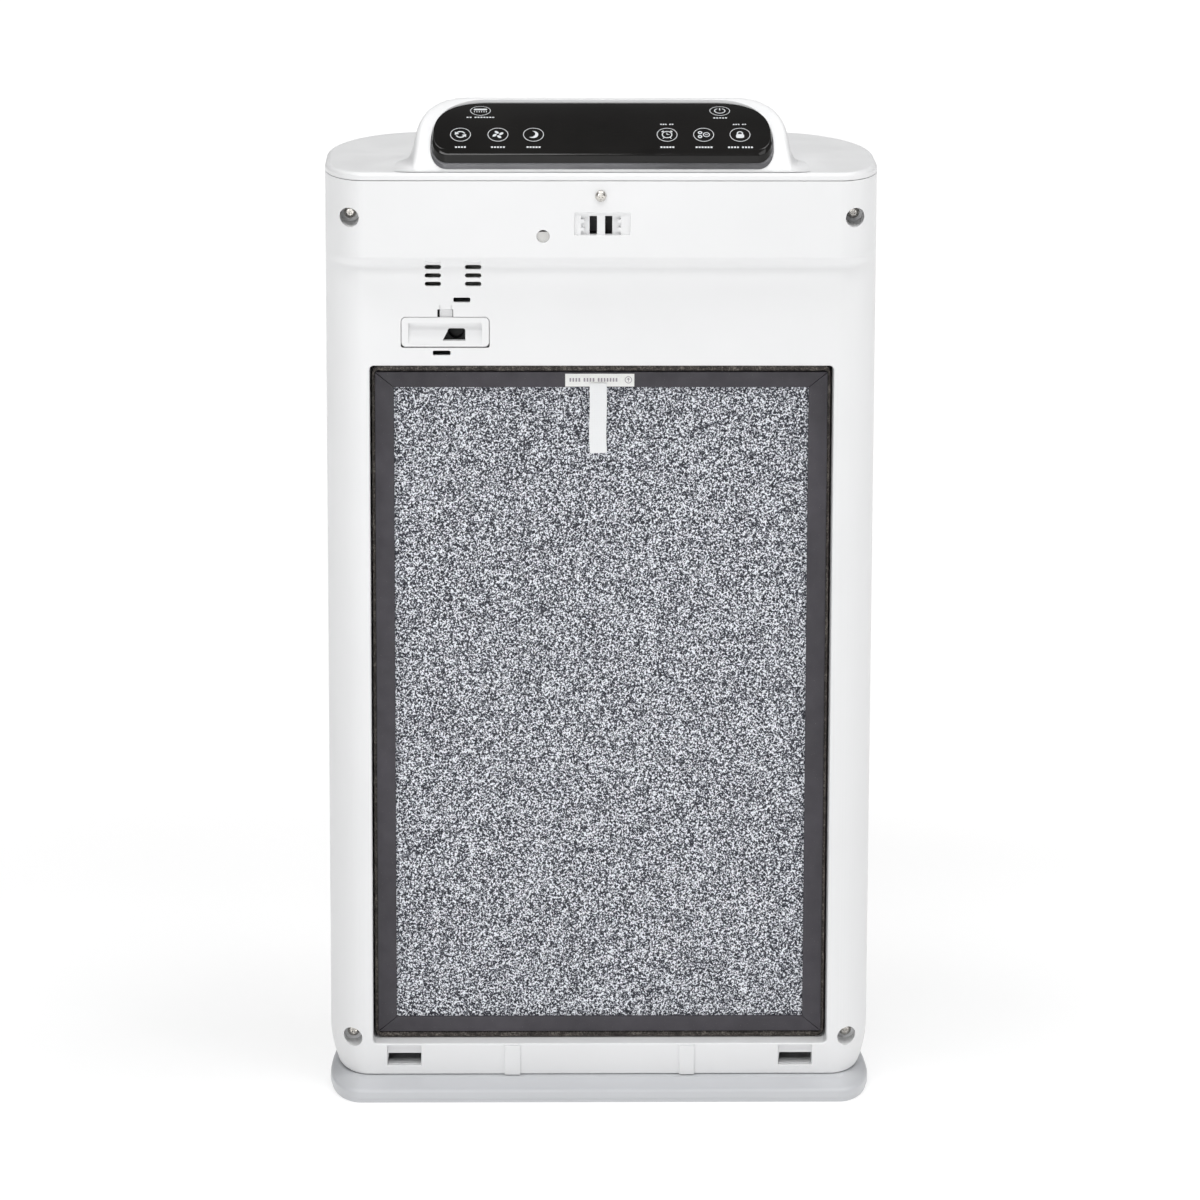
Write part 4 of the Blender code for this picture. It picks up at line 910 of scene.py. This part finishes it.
def curved_slab(name, margin, top, bottom_drop, edges):
    """A plate along the panel's arc. top(y, drop) is its upper face. edges has rows of side inset,
    front inset and drop, which round its top edge from its wall to its upper face."""
    half, front, back = PANEL[0] - margin, PANEL[1] + margin, PANEL[2] - margin
    levels = [pod_side(half, front, back, lambda y: arc_height(y, bottom_drop), PANEL_NOSE, PANEL_TAIL)]
    for side, ahead, drop in edges:
        shape = (half - side, front + ahead, back - side)
        levels.append(pod_side(*shape, lambda y, d=drop: top(y, d), PANEL_NOSE - side, PANEL_TAIL))
    return mirrored_loft(name, levels)


def control_stack():
    facet = [(0.0, 0.0, 1.75), (0.03, 0.03, 1.6), (0.1, 0.14, 1.4), (0.25, 0.6, 0.98), (0.4, 1.1, 0.6)]
    facet += [(0.55, 1.6, 0.25), (0.68, 1.9, 0.09), (0.9, 2.3, 0.0)]
    glass = curved_slab("glass_panel", 0.0, face_height, GLASS_DROP, facet)
    finish(glass, PANEL_BLACK, ["touch_panel"], sharp=50.0)

    def under_glass(y, drop):
        return arc_height(y, GLASS_DROP + GAP + drop)

    edges = [(0.0, 0.0, 0.35), (0.1, 0.1, 0.1), (0.35, 0.35, 0.0)]
    guide = curved_slab("light_guide", -0.5, under_glass, DIFFUSER_DROP, edges)
    finish(guide, SMOKED, ["panel_diffuser"])


KEY_RADIUS, KEY_LINE = 5.75, 0.36  # the rings round the keys' symbols


class Marks:
    """Thin raised marks, gathered into one mesh. place(a, b, lift) gives a point on the surface."""

    def __init__(self, place):
        self.place, self.points, self.faces = place, [], []

    def solid(self, outline, inner=None):
        """A filled outline, or the ribbon between two outlines of as many points."""
        size, first = len(outline), len(self.points)
        loops = [outline, inner] if inner else [outline]
        for lift in (0.05, 0.0):
            for loop in loops:
                self.points += [self.place(a, b, lift) for a, b in loop]
        step = size * len(loops)
        for i in range(size):
            j = (i + 1) % size
            a, b = first + i, first + j
            self.faces.append((a, b, b + step, a + step))
            if inner:
                c, d = a + size, b + size
                self.faces.append((c, c + step, d + step, d))
                self.faces.append((a, c, d, b))
                self.faces.append((a + step, b + step, d + step, c + step))
        if not inner:
            self.faces.append(tuple(first + i for i in range(size)))
            self.faces.append(tuple(first + step + i for i in reversed(range(size))))

    def ring(self, centre, radius, width, steps=48):
        turns = [math.tau * i / steps for i in range(steps)]
        radii = (radius + width / 2, radius - width / 2)
        self.solid(*([polar(centre, r, t) for t in turns] for r in radii))

    def bar(self, centre, width, height, turn=0.0):
        c, s = math.cos(turn), math.sin(turn)
        corners = ((-1, -1), (1, -1), (1, 1), (-1, 1))
        half = [(a * width / 2, b * height / 2) for a, b in corners]
        self.solid([(centre[0] + a * c - b * s, centre[1] + a * s + b * c) for a, b in half])

    def arc(self, centre, radius, width, start, end, steps=24):
        """Part of a ring, from the angle start to the angle end, in degrees."""
        turns = [math.radians(start + (end - start) * i / steps) for i in range(steps + 1)]
        outer = [polar(centre, radius + width / 2, t) for t in turns]
        inner = [polar(centre, radius - width / 2, t) for t in turns]
        self.solid(outer + inner[::-1])

    def dashes(self, centre, counts, height=1.15, pitch=1.7):
        """A row of small blocks that holds the place of a caption: counts gives the blocks per group."""
        total = (sum(counts) + 0.7 * (len(counts) - 1)) * pitch
        at = centre[0] - total / 2
        for count in counts:
            for _ in range(count):
                self.bar((at + pitch / 2, centre[1]), pitch * 0.66, height)
                at += pitch
            at += 0.7 * pitch

    def build(self, name):
        return mesh_object(name, self.points, self.faces)


def panel_marks():
    """The keys' symbols and the blocks that hold the captions' places. Positions on the panel are X,
    and the distance along its arc from its front edge."""
    start = math.asin((PANEL[1] - ARC_Y) / FACE_RADIUS)
    axis_z = ARC_Z + ARC_RADIUS - FACE_RADIUS

    def on_panel(x, along, lift):
        turn = start + along / FACE_RADIUS
        radius = FACE_RADIUS + 0.01 + lift
        return (x, ARC_Y + radius * math.sin(turn), axis_z + radius * math.cos(turn))

    marks = Marks(on_panel)
    auto, fan, night, timer, ions, lock = -81.3, -59.8, -39.4, 37.3, 58.3, 79.2
    lamp_key, power = -69.9, 68.3
    front_row, back_row = 14.7, 39.6
    for x in (auto, fan, night, timer, ions, lock):
        marks.ring((x, front_row), KEY_RADIUS, KEY_LINE)
    for x in (lamp_key, power):
        marks.ring((x, back_row), KEY_RADIUS, KEY_LINE)

    x, y = auto, front_row  # two arrows that chase each other
    for start_turn in (20.0, 200.0):
        marks.arc((x, y), 2.5, 0.75, start_turn, start_turn + 125)
        tip = math.radians(start_turn + 125)
        head = [polar((x, y), radius, tip) for radius in (0.9, 3.9, 2.5)]
        head[2] = polar(head[2], 2.1, tip + math.pi / 2)
        marks.solid(head)
    x = fan  # four blades
    for k in range(4):
        turn = math.tau * k / 4 + 0.35
        blade = []
        for i in range(16):
            t = math.tau * i / 16
            a, b = 2.05 + 1.35 * math.cos(t), 0.95 * math.sin(t) + 0.35 * math.cos(t)
            blade.append(polar(polar((x, y), a, turn), b, turn + math.pi / 2))
        marks.solid(blade)
    x = night  # a crescent
    crescent = [polar((x - 0.3, y), 3.1, math.radians(-125 + 215 * i / 20)) for i in range(21)]
    crescent += [polar((x - 1.75, y + 0.55), 2.75, math.radians(78 - 191 * i / 20)) for i in range(1, 20)]
    marks.solid(crescent)
    x = timer  # a clock with bells and feet
    marks.ring((x, y), 2.75, 0.55)
    marks.bar((x - 0.1, y + 0.75), 0.4, 1.7)
    marks.bar((x + 0.65, y + 0.05), 1.4, 0.4)
    for side in (-1, 1):
        marks.bar((x + side * 2.5, y + 2.75), 1.5, 0.75, side * -0.75)
        marks.bar((x + side * 2.05, y - 2.95), 0.5, 1.1, side * 0.6)
    x = ions  # small and large circles
    marks.ring((x + 1.6, y - 0.1), 1.75, 0.5)
    marks.bar((x + 1.6, y - 0.1), 1.7, 0.42)
    marks.ring((x - 2.0, y + 1.75), 0.95, 0.7)
    marks.ring((x - 2.1, y - 1.75), 0.95, 0.7)
    x = lock
    marks.solid(rounded_loop((x - 2.3, x + 2.3, y - 2.9, y + 0.4), 1.0, 4))
    marks.arc((x, y + 1.1), 1.45, 0.7, 0, 180)
    for side in (-1, 1):
        marks.bar((x + side * 1.45, y + 0.85), 0.7, 0.6)
    x, y = lamp_key, back_row  # a tube with rays under it
    marks.solid(rounded_loop((x - 3.9, x + 3.9, y + 0.6, y + 2.6), 0.9, 4))
    for k in range(6):
        marks.bar((x - 3.4 + 1.36 * k, y - 1.2), 0.42, 1.9)
    x = power
    marks.arc((x, y), 3.0, 0.6, 118, 422, 40)
    marks.bar((x, y + 2.0), 0.6, 2.8)

    captions = ((auto, (4,)), (fan, (5,)), (night, (5,)), (timer, (5,)), (ions, (6,)), (lock, (4, 4)))
    for x, counts in captions:
        marks.dashes((x, 4.2), counts)
    marks.dashes((lamp_key, 31.5), (2, 7))
    marks.dashes((power, 31.0), (5,))
    for x in (timer, lock):
        marks.dashes((x, 24.2), (3, 2), 0.95, 1.4)
    finish(marks.build("panel_marks"), PALE_INK)


# ---------------------------------------------------------------- fasteners, latch, door


def fine_screw(name, node, centre, axis, head_low, tip, radius=SCREW_HEAD_RADIUS):
    """A pan-head screw with a cross recess and its thread's ridges."""
    way = 1.0 if tip > head_low else -1.0
    top = head_low - way * SCREW_HEAD_HEIGHT
    shank = SCREW_RADIUS
    profile = [(0, top)]
    for i in range(9):
        turn = i / 8 * math.pi / 2
        profile.append((radius * (0.45 + 0.55 * math.sin(turn)), top + way * 1.7 * (1 - math.cos(turn))))
    profile += [(radius, head_low - way * 0.15), (radius - 0.15, head_low), (shank, head_low)]
    place, pitch = head_low + way * 0.8, 1.3
    while (tip - 2.0 - place) * way > 0:
        profile += [(shank, place), (shank - 0.4, place + way * 0.45), (shank - 0.4, place + way * 0.75)]
        place += way * pitch
    profile += [(shank - 0.4, tip - way * 1.6), (0, tip)]
    screw = turned(name, profile, centre, axis, 36)
    deep = sorted((top - way, top + way * 1.5))
    for across, up in ((2.0, 0.42), (0.42, 2.0)):
        sides = [(c - half, c + half) for c, half in zip(centre, (across, up, up))]
        sides["XYZ".index(axis)] = deep
        cut(screw, box("cross", *sides))
    cone = [(0, top - way), (1.35, top - way), (1.15, top + way * 0.3), (0, top + way * 1.9)]
    cut(screw, turned("cone", cone, centre, axis, 24))
    finish(screw, NICKEL, [node])


def screws():
    for corner, place in WELLS.items():
        node = f"housing_screw_{corner}"
        centre, tip = (place.x, 0, place.z), reach(node)[1].y
        fine_screw(f"well_screw_{corner}", node, centre, "Y", WELL_FLOOR - GAP, tip)
    for corner, place in BASE_SCREWS.items():
        node = f"base_screw_{corner}"
        centre, tip = (place.x, place.y, 0), reach(node)[1].z
        fine_screw(f"plinth_screw_{corner}", node, centre, "Z", HEAD_SEAT - GAP, tip)
    centre, tip = (LATCH_SCREW.x, 0, LATCH_SCREW.z), reach("latch_screw")[1].y
    fine_screw("pan_screw", "latch_screw", centre, "Y", BAND_FACE - GAP, tip, 3.25)


def door():
    """The sensor door: a rounded plate with a finger scoop that is deepest at its top."""
    plate = block("small_door", DOOR, 2.6, FACE, FACE + DOOR_THICKNESS, 0.45)
    left, right, low, high = SCOOP
    wall = ((left - 1.2, right + 1.2), (FACE + 1, FACE + 6.0), (low + 1, high + 1.2))
    join(plate, box("scoop_wall", *wall))
    tongue = (NOTCH[0] + 1.3, NOTCH[1] - GAP, high + 0.4, NOTCH_TOP - 0.4)
    join(plate, block("tongue", tongue, 0.3, FACE + 2.6, FACE + 4.2, 0.2))
    steps = 8
    levels = []
    for k in range(steps + 1):
        z = low + (high - low) * k / steps
        ahead, depth = FACE - 2, FACE + 0.2 + 4.4 * math.sin(k / steps * math.pi / 2) ** 1.3
        levels.append([(left, ahead, z), (right, ahead, z), (right, depth, z), (left, depth, z)])
    cut(plate, loft("scoop", levels))
    slit = (NOTCH[0] + 0.9, NOTCH[1] - 0.4)
    cut(plate, box("tongue_slit", slit, (FACE + 1.2, FACE + 3.0), (high - 0.5, high)))
    hole = [(-91.8, 451.0), (-78.7, 451.0)] + quarter((-80.2, 456.3), (1.5, 1.5), 0, 5)
    hole += quarter((-87.4, 456.3), (1.5, 1.5), 1, 5)
    cut(plate, loft("air_hole", [[(x, y, z) for x, z in hole] for y in (-90.0, -70.0)]))
    hinge = next(j for j in frame["joints"] if j["name"] == "sensor_door_hinge")["pos_m"]
    for x in (DOOR[0] + 4.0, DOOR[1] - 4.0):
        join(plate, rod("knuckle", [c / MM for c in hinge], 1.2, x - 2.5, x + 2.5, "X", 24))
    finish(plate, WHITE, ["sensor_door"], "sensor_door")


# ---------------------------------------------------------------- filter cartridge

CARTRIDGE = "filter_cartridge"


def ruffled(place, scale, amount):
    """A smooth random offset at a place, from -amount to amount."""
    return noise.noise(Vector(place) * scale) * amount


def seal():
    """The foam band round the cartridge, uneven and worn at its front edge."""
    left, right, bottom, top = SEAL_LOW.x, SEAL_HIGH.x, SEAL_LOW.z, SEAL_HIGH.z
    depth = SEAL_HIGH.y - SEAL_LOW.y
    corner, pitch = 5.0, 2.5
    path = []  # (x, z, unit vector out of the band)
    runs = (
        ((right - corner, bottom), (1, 0), left, right),
        ((right, top - corner), (0, 1), bottom, top),
        ((left + corner, top), (-1, 0), left, right),
        ((left, bottom + corner), (0, -1), bottom, top),
    )
    for k, (end, way, low, high) in enumerate(runs):
        length = high - low - 2 * corner
        count = round(length / pitch)
        outward = Vector((way[1], -way[0]))
        start = Vector(end) - Vector(way) * length
        for i in range(count):
            path.append((start + Vector(way) * length * i / count, outward))
        centre = Vector(end) - outward * corner
        for i in range(5):
            turn = math.atan2(outward.y, outward.x) + i / 5 * math.pi / 2
            direction = Vector((math.cos(turn), math.sin(turn)))
            path.append((centre + direction * corner, direction))
    section = [(0.0, 1.1), (0.4, 0.25), (1.7, 0.0), (3.0, 0.3), (3.4, 1.1), (3.4, depth), (0.0, depth)]
    levels = []
    for place, outward in path:
        row = []
        for inset, back in section:
            x, z = place - outward * inset * (1.0 - 0.45 * abs(outward.x))
            y = SEAL_LOW.y + back
            if back < 2.0:
                y += 0.25 + ruffled((x, y, z), 0.22, 0.3) + ruffled((x, y, z), 0.9, 0.15)
            row.append((x, y, z))
        levels.append(row)
    points = [p for level in levels for p in level]
    faces = [[i % len(points) for i in face] for face in walls(len(levels) + 1, len(section))]
    band = mesh_object("foam_band", points, faces)
    finish(band, FOAM, ["filter_seal"], CARTRIDGE)


def strips():
    """The frame's four mitred strips, with softened front edges and a fine gap at each mitre. sides
    gives the corners that a strip runs between, as places in a rectangle, and its direction."""
    left, right = reach("frame_left"), reach("frame_right")
    bottom, top = reach("frame_bottom"), reach("frame_top")
    outer = (left[0].x - 2.0, right[1].x + 2.0, bottom[0].z, top[1].z)
    inner = (left[1].x, right[0].x, bottom[1].z, top[0].z)
    front, back = bottom[0].y, bottom[1].y
    sides = {
        "bottom": ((0, 2), (1, 2), (1.0, 0.0)),
        "right": ((1, 2), (1, 3), (0.0, 1.0)),
        "top": ((1, 3), (0, 3), (-1.0, 0.0)),
        "left": ((0, 3), (0, 2), (0.0, -1.0)),
    }
    rows = ((back - front, 0, 0.12), (0.5, 0, 0.12), (0.15, 0.15, 0.2), (0, 0.5, 0.4))
    for side, (start, end, along) in sides.items():
        levels = []
        for depth, soft, mitre in rows:
            out, within = grown(outer, -soft), grown(inner, soft)
            row = []
            turns = ((out, start, 1), (out, end, -1), (within, end, -1), (within, start, 1))
            for rect, (a, b), way in turns:
                shift = way * mitre
                row.append((rect[a] + along[0] * shift, front + depth, rect[b] + along[1] * shift))
            levels.append(row)
        finish(loft(f"card_{side}", levels), CARD, [f"frame_{side}"], CARTRIDGE)


def media():
    """The face media: a closed slab whose front is a fine relief."""
    low, high = reach("carbon_media")
    pitch = 2.2
    cols, rows = round((high.x - low.x) / pitch), round((high.z - low.z) / pitch)
    points = []
    for j in range(rows + 1):
        for i in range(cols + 1):
            x, z = low.x + (high.x - low.x) * i / cols, low.z + (high.z - low.z) * j / rows
            edge = min(1.0, min(x - low.x, high.x - x, z - low.z, high.z - z) / 8.0)
            relief = ruffled((x, 0, z), 0.045, 0.9) + ruffled((x, 3, z), 0.3, 0.35)
            points.append((x, low.y + 0.35 + edge * (0.45 + 0.45 * relief), z))
    faces, rim = grid(cols, rows)
    first, size = len(points), len(rim)
    points += [(points[i][0], high.y, points[i][2]) for i in rim]
    for i in range(size):
        j = (i + 1) % size
        faces.append((rim[i], rim[j], first + j, first + i))
    faces.append(tuple(range(first, first + size)))
    slab = mesh_object("carbon_face", points, faces)
    finish(slab, CARBON, ["carbon_media"], CARTRIDGE, sharp=60.0)


def label():
    """The paper label over the frame's top strip, with its ends a little lifted, and its marks."""
    low, high = reach("filter_label")
    cols, rows = 24, 4

    def surface(x, z, lift=0.0):
        share = abs(2 * (x - low.x) / (high.x - low.x) - 1)
        return (x, low.y + 0.12 - 0.10 * share**4 - lift + ruffled((x, 0, z), 0.12, 0.03), z)

    def front(i, j):
        return surface(low.x + (high.x - low.x) * i / cols, low.z + (high.z - low.z) * j / rows)

    paper_label = thin_sheet("paper_label", cols, rows, 0.18, front)
    finish(paper_label, PAPER, ["filter_label"], CARTRIDGE)

    marks = Marks(lambda x, z, lift: surface(x, z, 0.01 + lift * 0.4))
    row_z, at = (low.z + high.z) / 2 + 0.2, low.x + 2.4
    for count in (4, 4, 7):
        for _ in range(count):
            marks.bar((at + 0.6, row_z), 1.0, 2.1)
            at += 1.72
        at += 1.3
    x = high.x - 3.4  # an arrow in a ring
    marks.ring((x, row_z), 1.9, 0.35, steps=28)
    marks.bar((x, row_z - 0.3), 0.35, 1.6)
    marks.solid([(x - 0.9, row_z + 0.2), (x + 0.9, row_z + 0.2), (x, row_z + 1.3)])
    finish(marks.build("label_marks"), GREY_INK, (), CARTRIDGE)


TAB_SIZE = (10.0, 41.0)  # width and length of the tape before it was hung


def pull_tab():
    """The tape that the cartridge is pulled out by: it hangs from under the label, with a slight wave along
    it.
    """
    low, high = reach("pull_tab")
    width, length = TAB_SIZE
    cols, rows = 8, 44
    lines = []
    y, z = high.y - 0.45, high.z
    step = length / rows
    for j in range(rows + 1):
        share = j / rows
        lean = -0.055 * math.sin(share * 9.0) - 0.02 * share
        lines.append((y, z))
        y += step * math.sin(lean)
        z -= step * math.cos(lean)

    def front(i, j):
        (y, z), share, a = lines[j], j / rows, i / cols - 0.5
        x = (low.x + high.x) / 2 + a * width + 0.35 * math.sin(share * 7.0) * share
        crown = 0.18 * math.cos(a * math.pi) * math.sin(share * 6.0 + 0.6)
        return (x, y - crown, z + 0.25 * a * share)

    tape = thin_sheet("tape_tab", cols, rows, 0.28, front)
    finish(tape, TAPE, ["pull_tab"], CARTRIDGE, sharp=60.0)


# ---------------------------------------------------------------- inner pieces and carried nodes


def gland():
    low, back = reach("cord_gland")[0], BODY_BACK
    profile = [(3.6, back + 1.3), (3.9, back + 1.6), (9.0, back + 1.6), (9.6, back + 1.35)]
    profile += [(10.4, back + 0.6), (10.6, back + 0.3 + 0.01), (7.7, back + GAP)]
    profile += [(7.7, low.y + 3.0), (9.2, low.y + 2.0), (9.2, low.y), (3.6, low.y)]
    inlet = turned("cord_inlet", profile, (GLAND.x, 0, GLAND.z))
    finish(inlet, BLACK, ["cord_gland"])


def lamp():
    """The ultraviolet lamp: a glass tube with a metal cap at each end."""
    place = middle("uv_lamp")
    centre = (0, place.y, place.z)
    half, radius, cap = reach("uv_lamp")[1].x, 8.0, 9.0
    tube = [(0, -half + cap), (radius - 0.3, -half + cap), (radius - 0.3, half - cap), (0, half - cap)]
    finish(turned("lamp_tube", tube, centre, "X", 40), QUARTZ, ["uv_lamp"])
    for side, way in (("left", -1.0), ("right", 1.0)):
        ends = [(0, half), (5.4, half), (6.0, half - 0.5), (radius, half - 3.0), (radius, half - cap + 0.1)]
        profile = [(r, way * p) for r, p in ends + [(0, half - cap + 0.1)]]
        finish(turned(f"lamp_cap_{side}", profile, centre, "X", 40), ZINC)


# The CAD nodes that keep their own shape: material, width of the softened edges, and nodes
CARRIED = (
    (PLEATS, 0.0, "hepa_media"),
    (GRILLE_GREY, 0.5, "outlet_grille"),
    (BLACK, 0.3, "latch_block"),
    (INNER, 0.4, "interlock_plunger"),
    (BLACK, 0.4, "interlock_switch", "dust_sensor", "ionizer"),
    (INNER, 0.2, "scroll_casing", "fan_guard", "inlet_ring", "impeller"),
    (INNER, 0.8, "lamp_socket_left", "lamp_socket_right"),
    (NICKEL, 0.3, "motor_shaft", "impeller_nut"),
    (ZINC, 0.4, "fan_motor", "motor_mount"),
    (CIRCUIT, 0.2, "control_board", "power_board"),
)


def carried():
    for material, edge, *nodes in CARRIED:
        for node in nodes:
            carry(node, material, edge)


# ---------------------------------------------------------------- camera, stage and light


def camera():
    """The photograph's viewpoint, about a point near the middle of the object."""
    azimuth, elevation, roll = math.radians(-0.963), math.radians(12.0), math.radians(0.161)
    target, distance = Vector((0.65, 0.0, 281.5)), 3400.0
    flat = math.cos(elevation)
    back = Vector((math.sin(azimuth) * flat, -math.cos(azimuth) * flat, math.sin(elevation)))
    right = Vector((0, 0, 1)).cross(back).normalized()
    up = back.cross(right)
    turned_right = right * math.cos(roll) + up * math.sin(roll)
    turned_up = up * math.cos(roll) - right * math.sin(roll)
    data = bpy.data.cameras.new("camera")
    data.sensor_width = 36.0
    data.lens = 171.16  # fitted with the place above to the edges of the body
    data.clip_start, data.clip_end = 0.1, 60.0
    obj = bpy.data.objects.new("camera", data)
    turn = Matrix((turned_right, turned_up, back)).transposed().to_4x4()
    obj.matrix_world = Matrix.Translation((target + back * distance) * MM) @ turn
    bpy.context.scene.collection.objects.link(obj)
    bpy.context.scene.camera = obj


# Name, azimuth, elevation, distance in metres, size in metres, and power in watts. Azimuth 0 is in
# front of the object, and turns towards +X.
SOFTBOXES = (
    ("key", 30.0, 45.0, 6.0, (2.6, 2.2), 50.0),
    ("strip", -21.0, 50.0, 6.0, (3.0, 0.8), 67.0),
    ("front", -10.0, 8.0, 5.0, (1.6, 1.6), 43.0),
    ("high_left", -60.0, 70.0, 6.0, (2.0, 2.0), 82.0),
    ("high_right", 60.0, 70.0, 6.0, (2.0, 2.0), 82.0),
    ("back_left", -118.0, 68.0, 3.2, (1.2, 1.2), 12.0),
    ("back_right", 118.0, 68.0, 3.2, (1.2, 1.2), 12.0),
    ("right", 95.0, 15.0, 3.0, (1.2, 1.6), 10.7),
)
LIGHT_AIM = Vector((0.0, 0.0, 0.3))


def softbox(name, azimuth, elevation, distance, size, power):
    across, up = math.radians(azimuth), math.radians(elevation)
    way = Vector((math.sin(across) * math.cos(up), -math.cos(across) * math.cos(up), math.sin(up)))
    data = bpy.data.lights.new(name, "AREA")
    data.shape = "RECTANGLE"
    data.size, data.size_y = size
    data.energy = power
    obj = bpy.data.objects.new(name, data)
    obj.location = LIGHT_AIM + way * distance
    obj.rotation_euler = way.to_track_quat("Z", "Y").to_euler()
    bpy.context.scene.collection.objects.link(obj)


def stage():
    """A white floor that glows, more so further out, so that it reads as white paper, and the
    softboxes round the object."""
    bm = bmesh.new()
    bmesh.ops.create_grid(bm, x_segments=8, y_segments=8, size=14.0)
    mesh = bpy.data.meshes.new("floor")
    bm.to_mesh(mesh)
    bm.free()
    floor = bpy.data.objects.new("floor", mesh)
    bpy.context.scene.collection.objects.link(floor)
    paint = Paint("floor_white", (0.5, 0.5, 0.5), 0.9)
    paint.set("Emission Color", (1.0, 1.0, 1.0, 1.0))
    away = paint.add("ShaderNodeVectorMath", Vector=paint.place)
    away.operation = "LENGTH"
    glow = paint.mapped(away.outputs["Value"], 0.6, 5.0, 0.56, 1.0)
    paint.tree.links.new(glow, paint.shader.inputs["Emission Strength"])
    floor.data.materials.append(paint.material)

    world = bpy.data.worlds.new("studio")
    world.use_nodes = True
    background = world.node_tree.nodes["Background"]
    background.inputs["Color"].default_value = (1.0, 1.0, 1.0, 1.0)
    background.inputs["Strength"].default_value = 0.1
    bpy.context.scene.world = world
    for row in SOFTBOXES:
        softbox(*row)
    bpy.context.scene.view_settings.view_transform = "Standard"


for make in (camera, stage, front_shell, rear_shell, deck_cap, plinth, feet, pod_shell, control_stack):
    make()
for make in (panel_marks, screws, door, seal, strips, media, label, pull_tab, gland, lamp, carried):
    make()
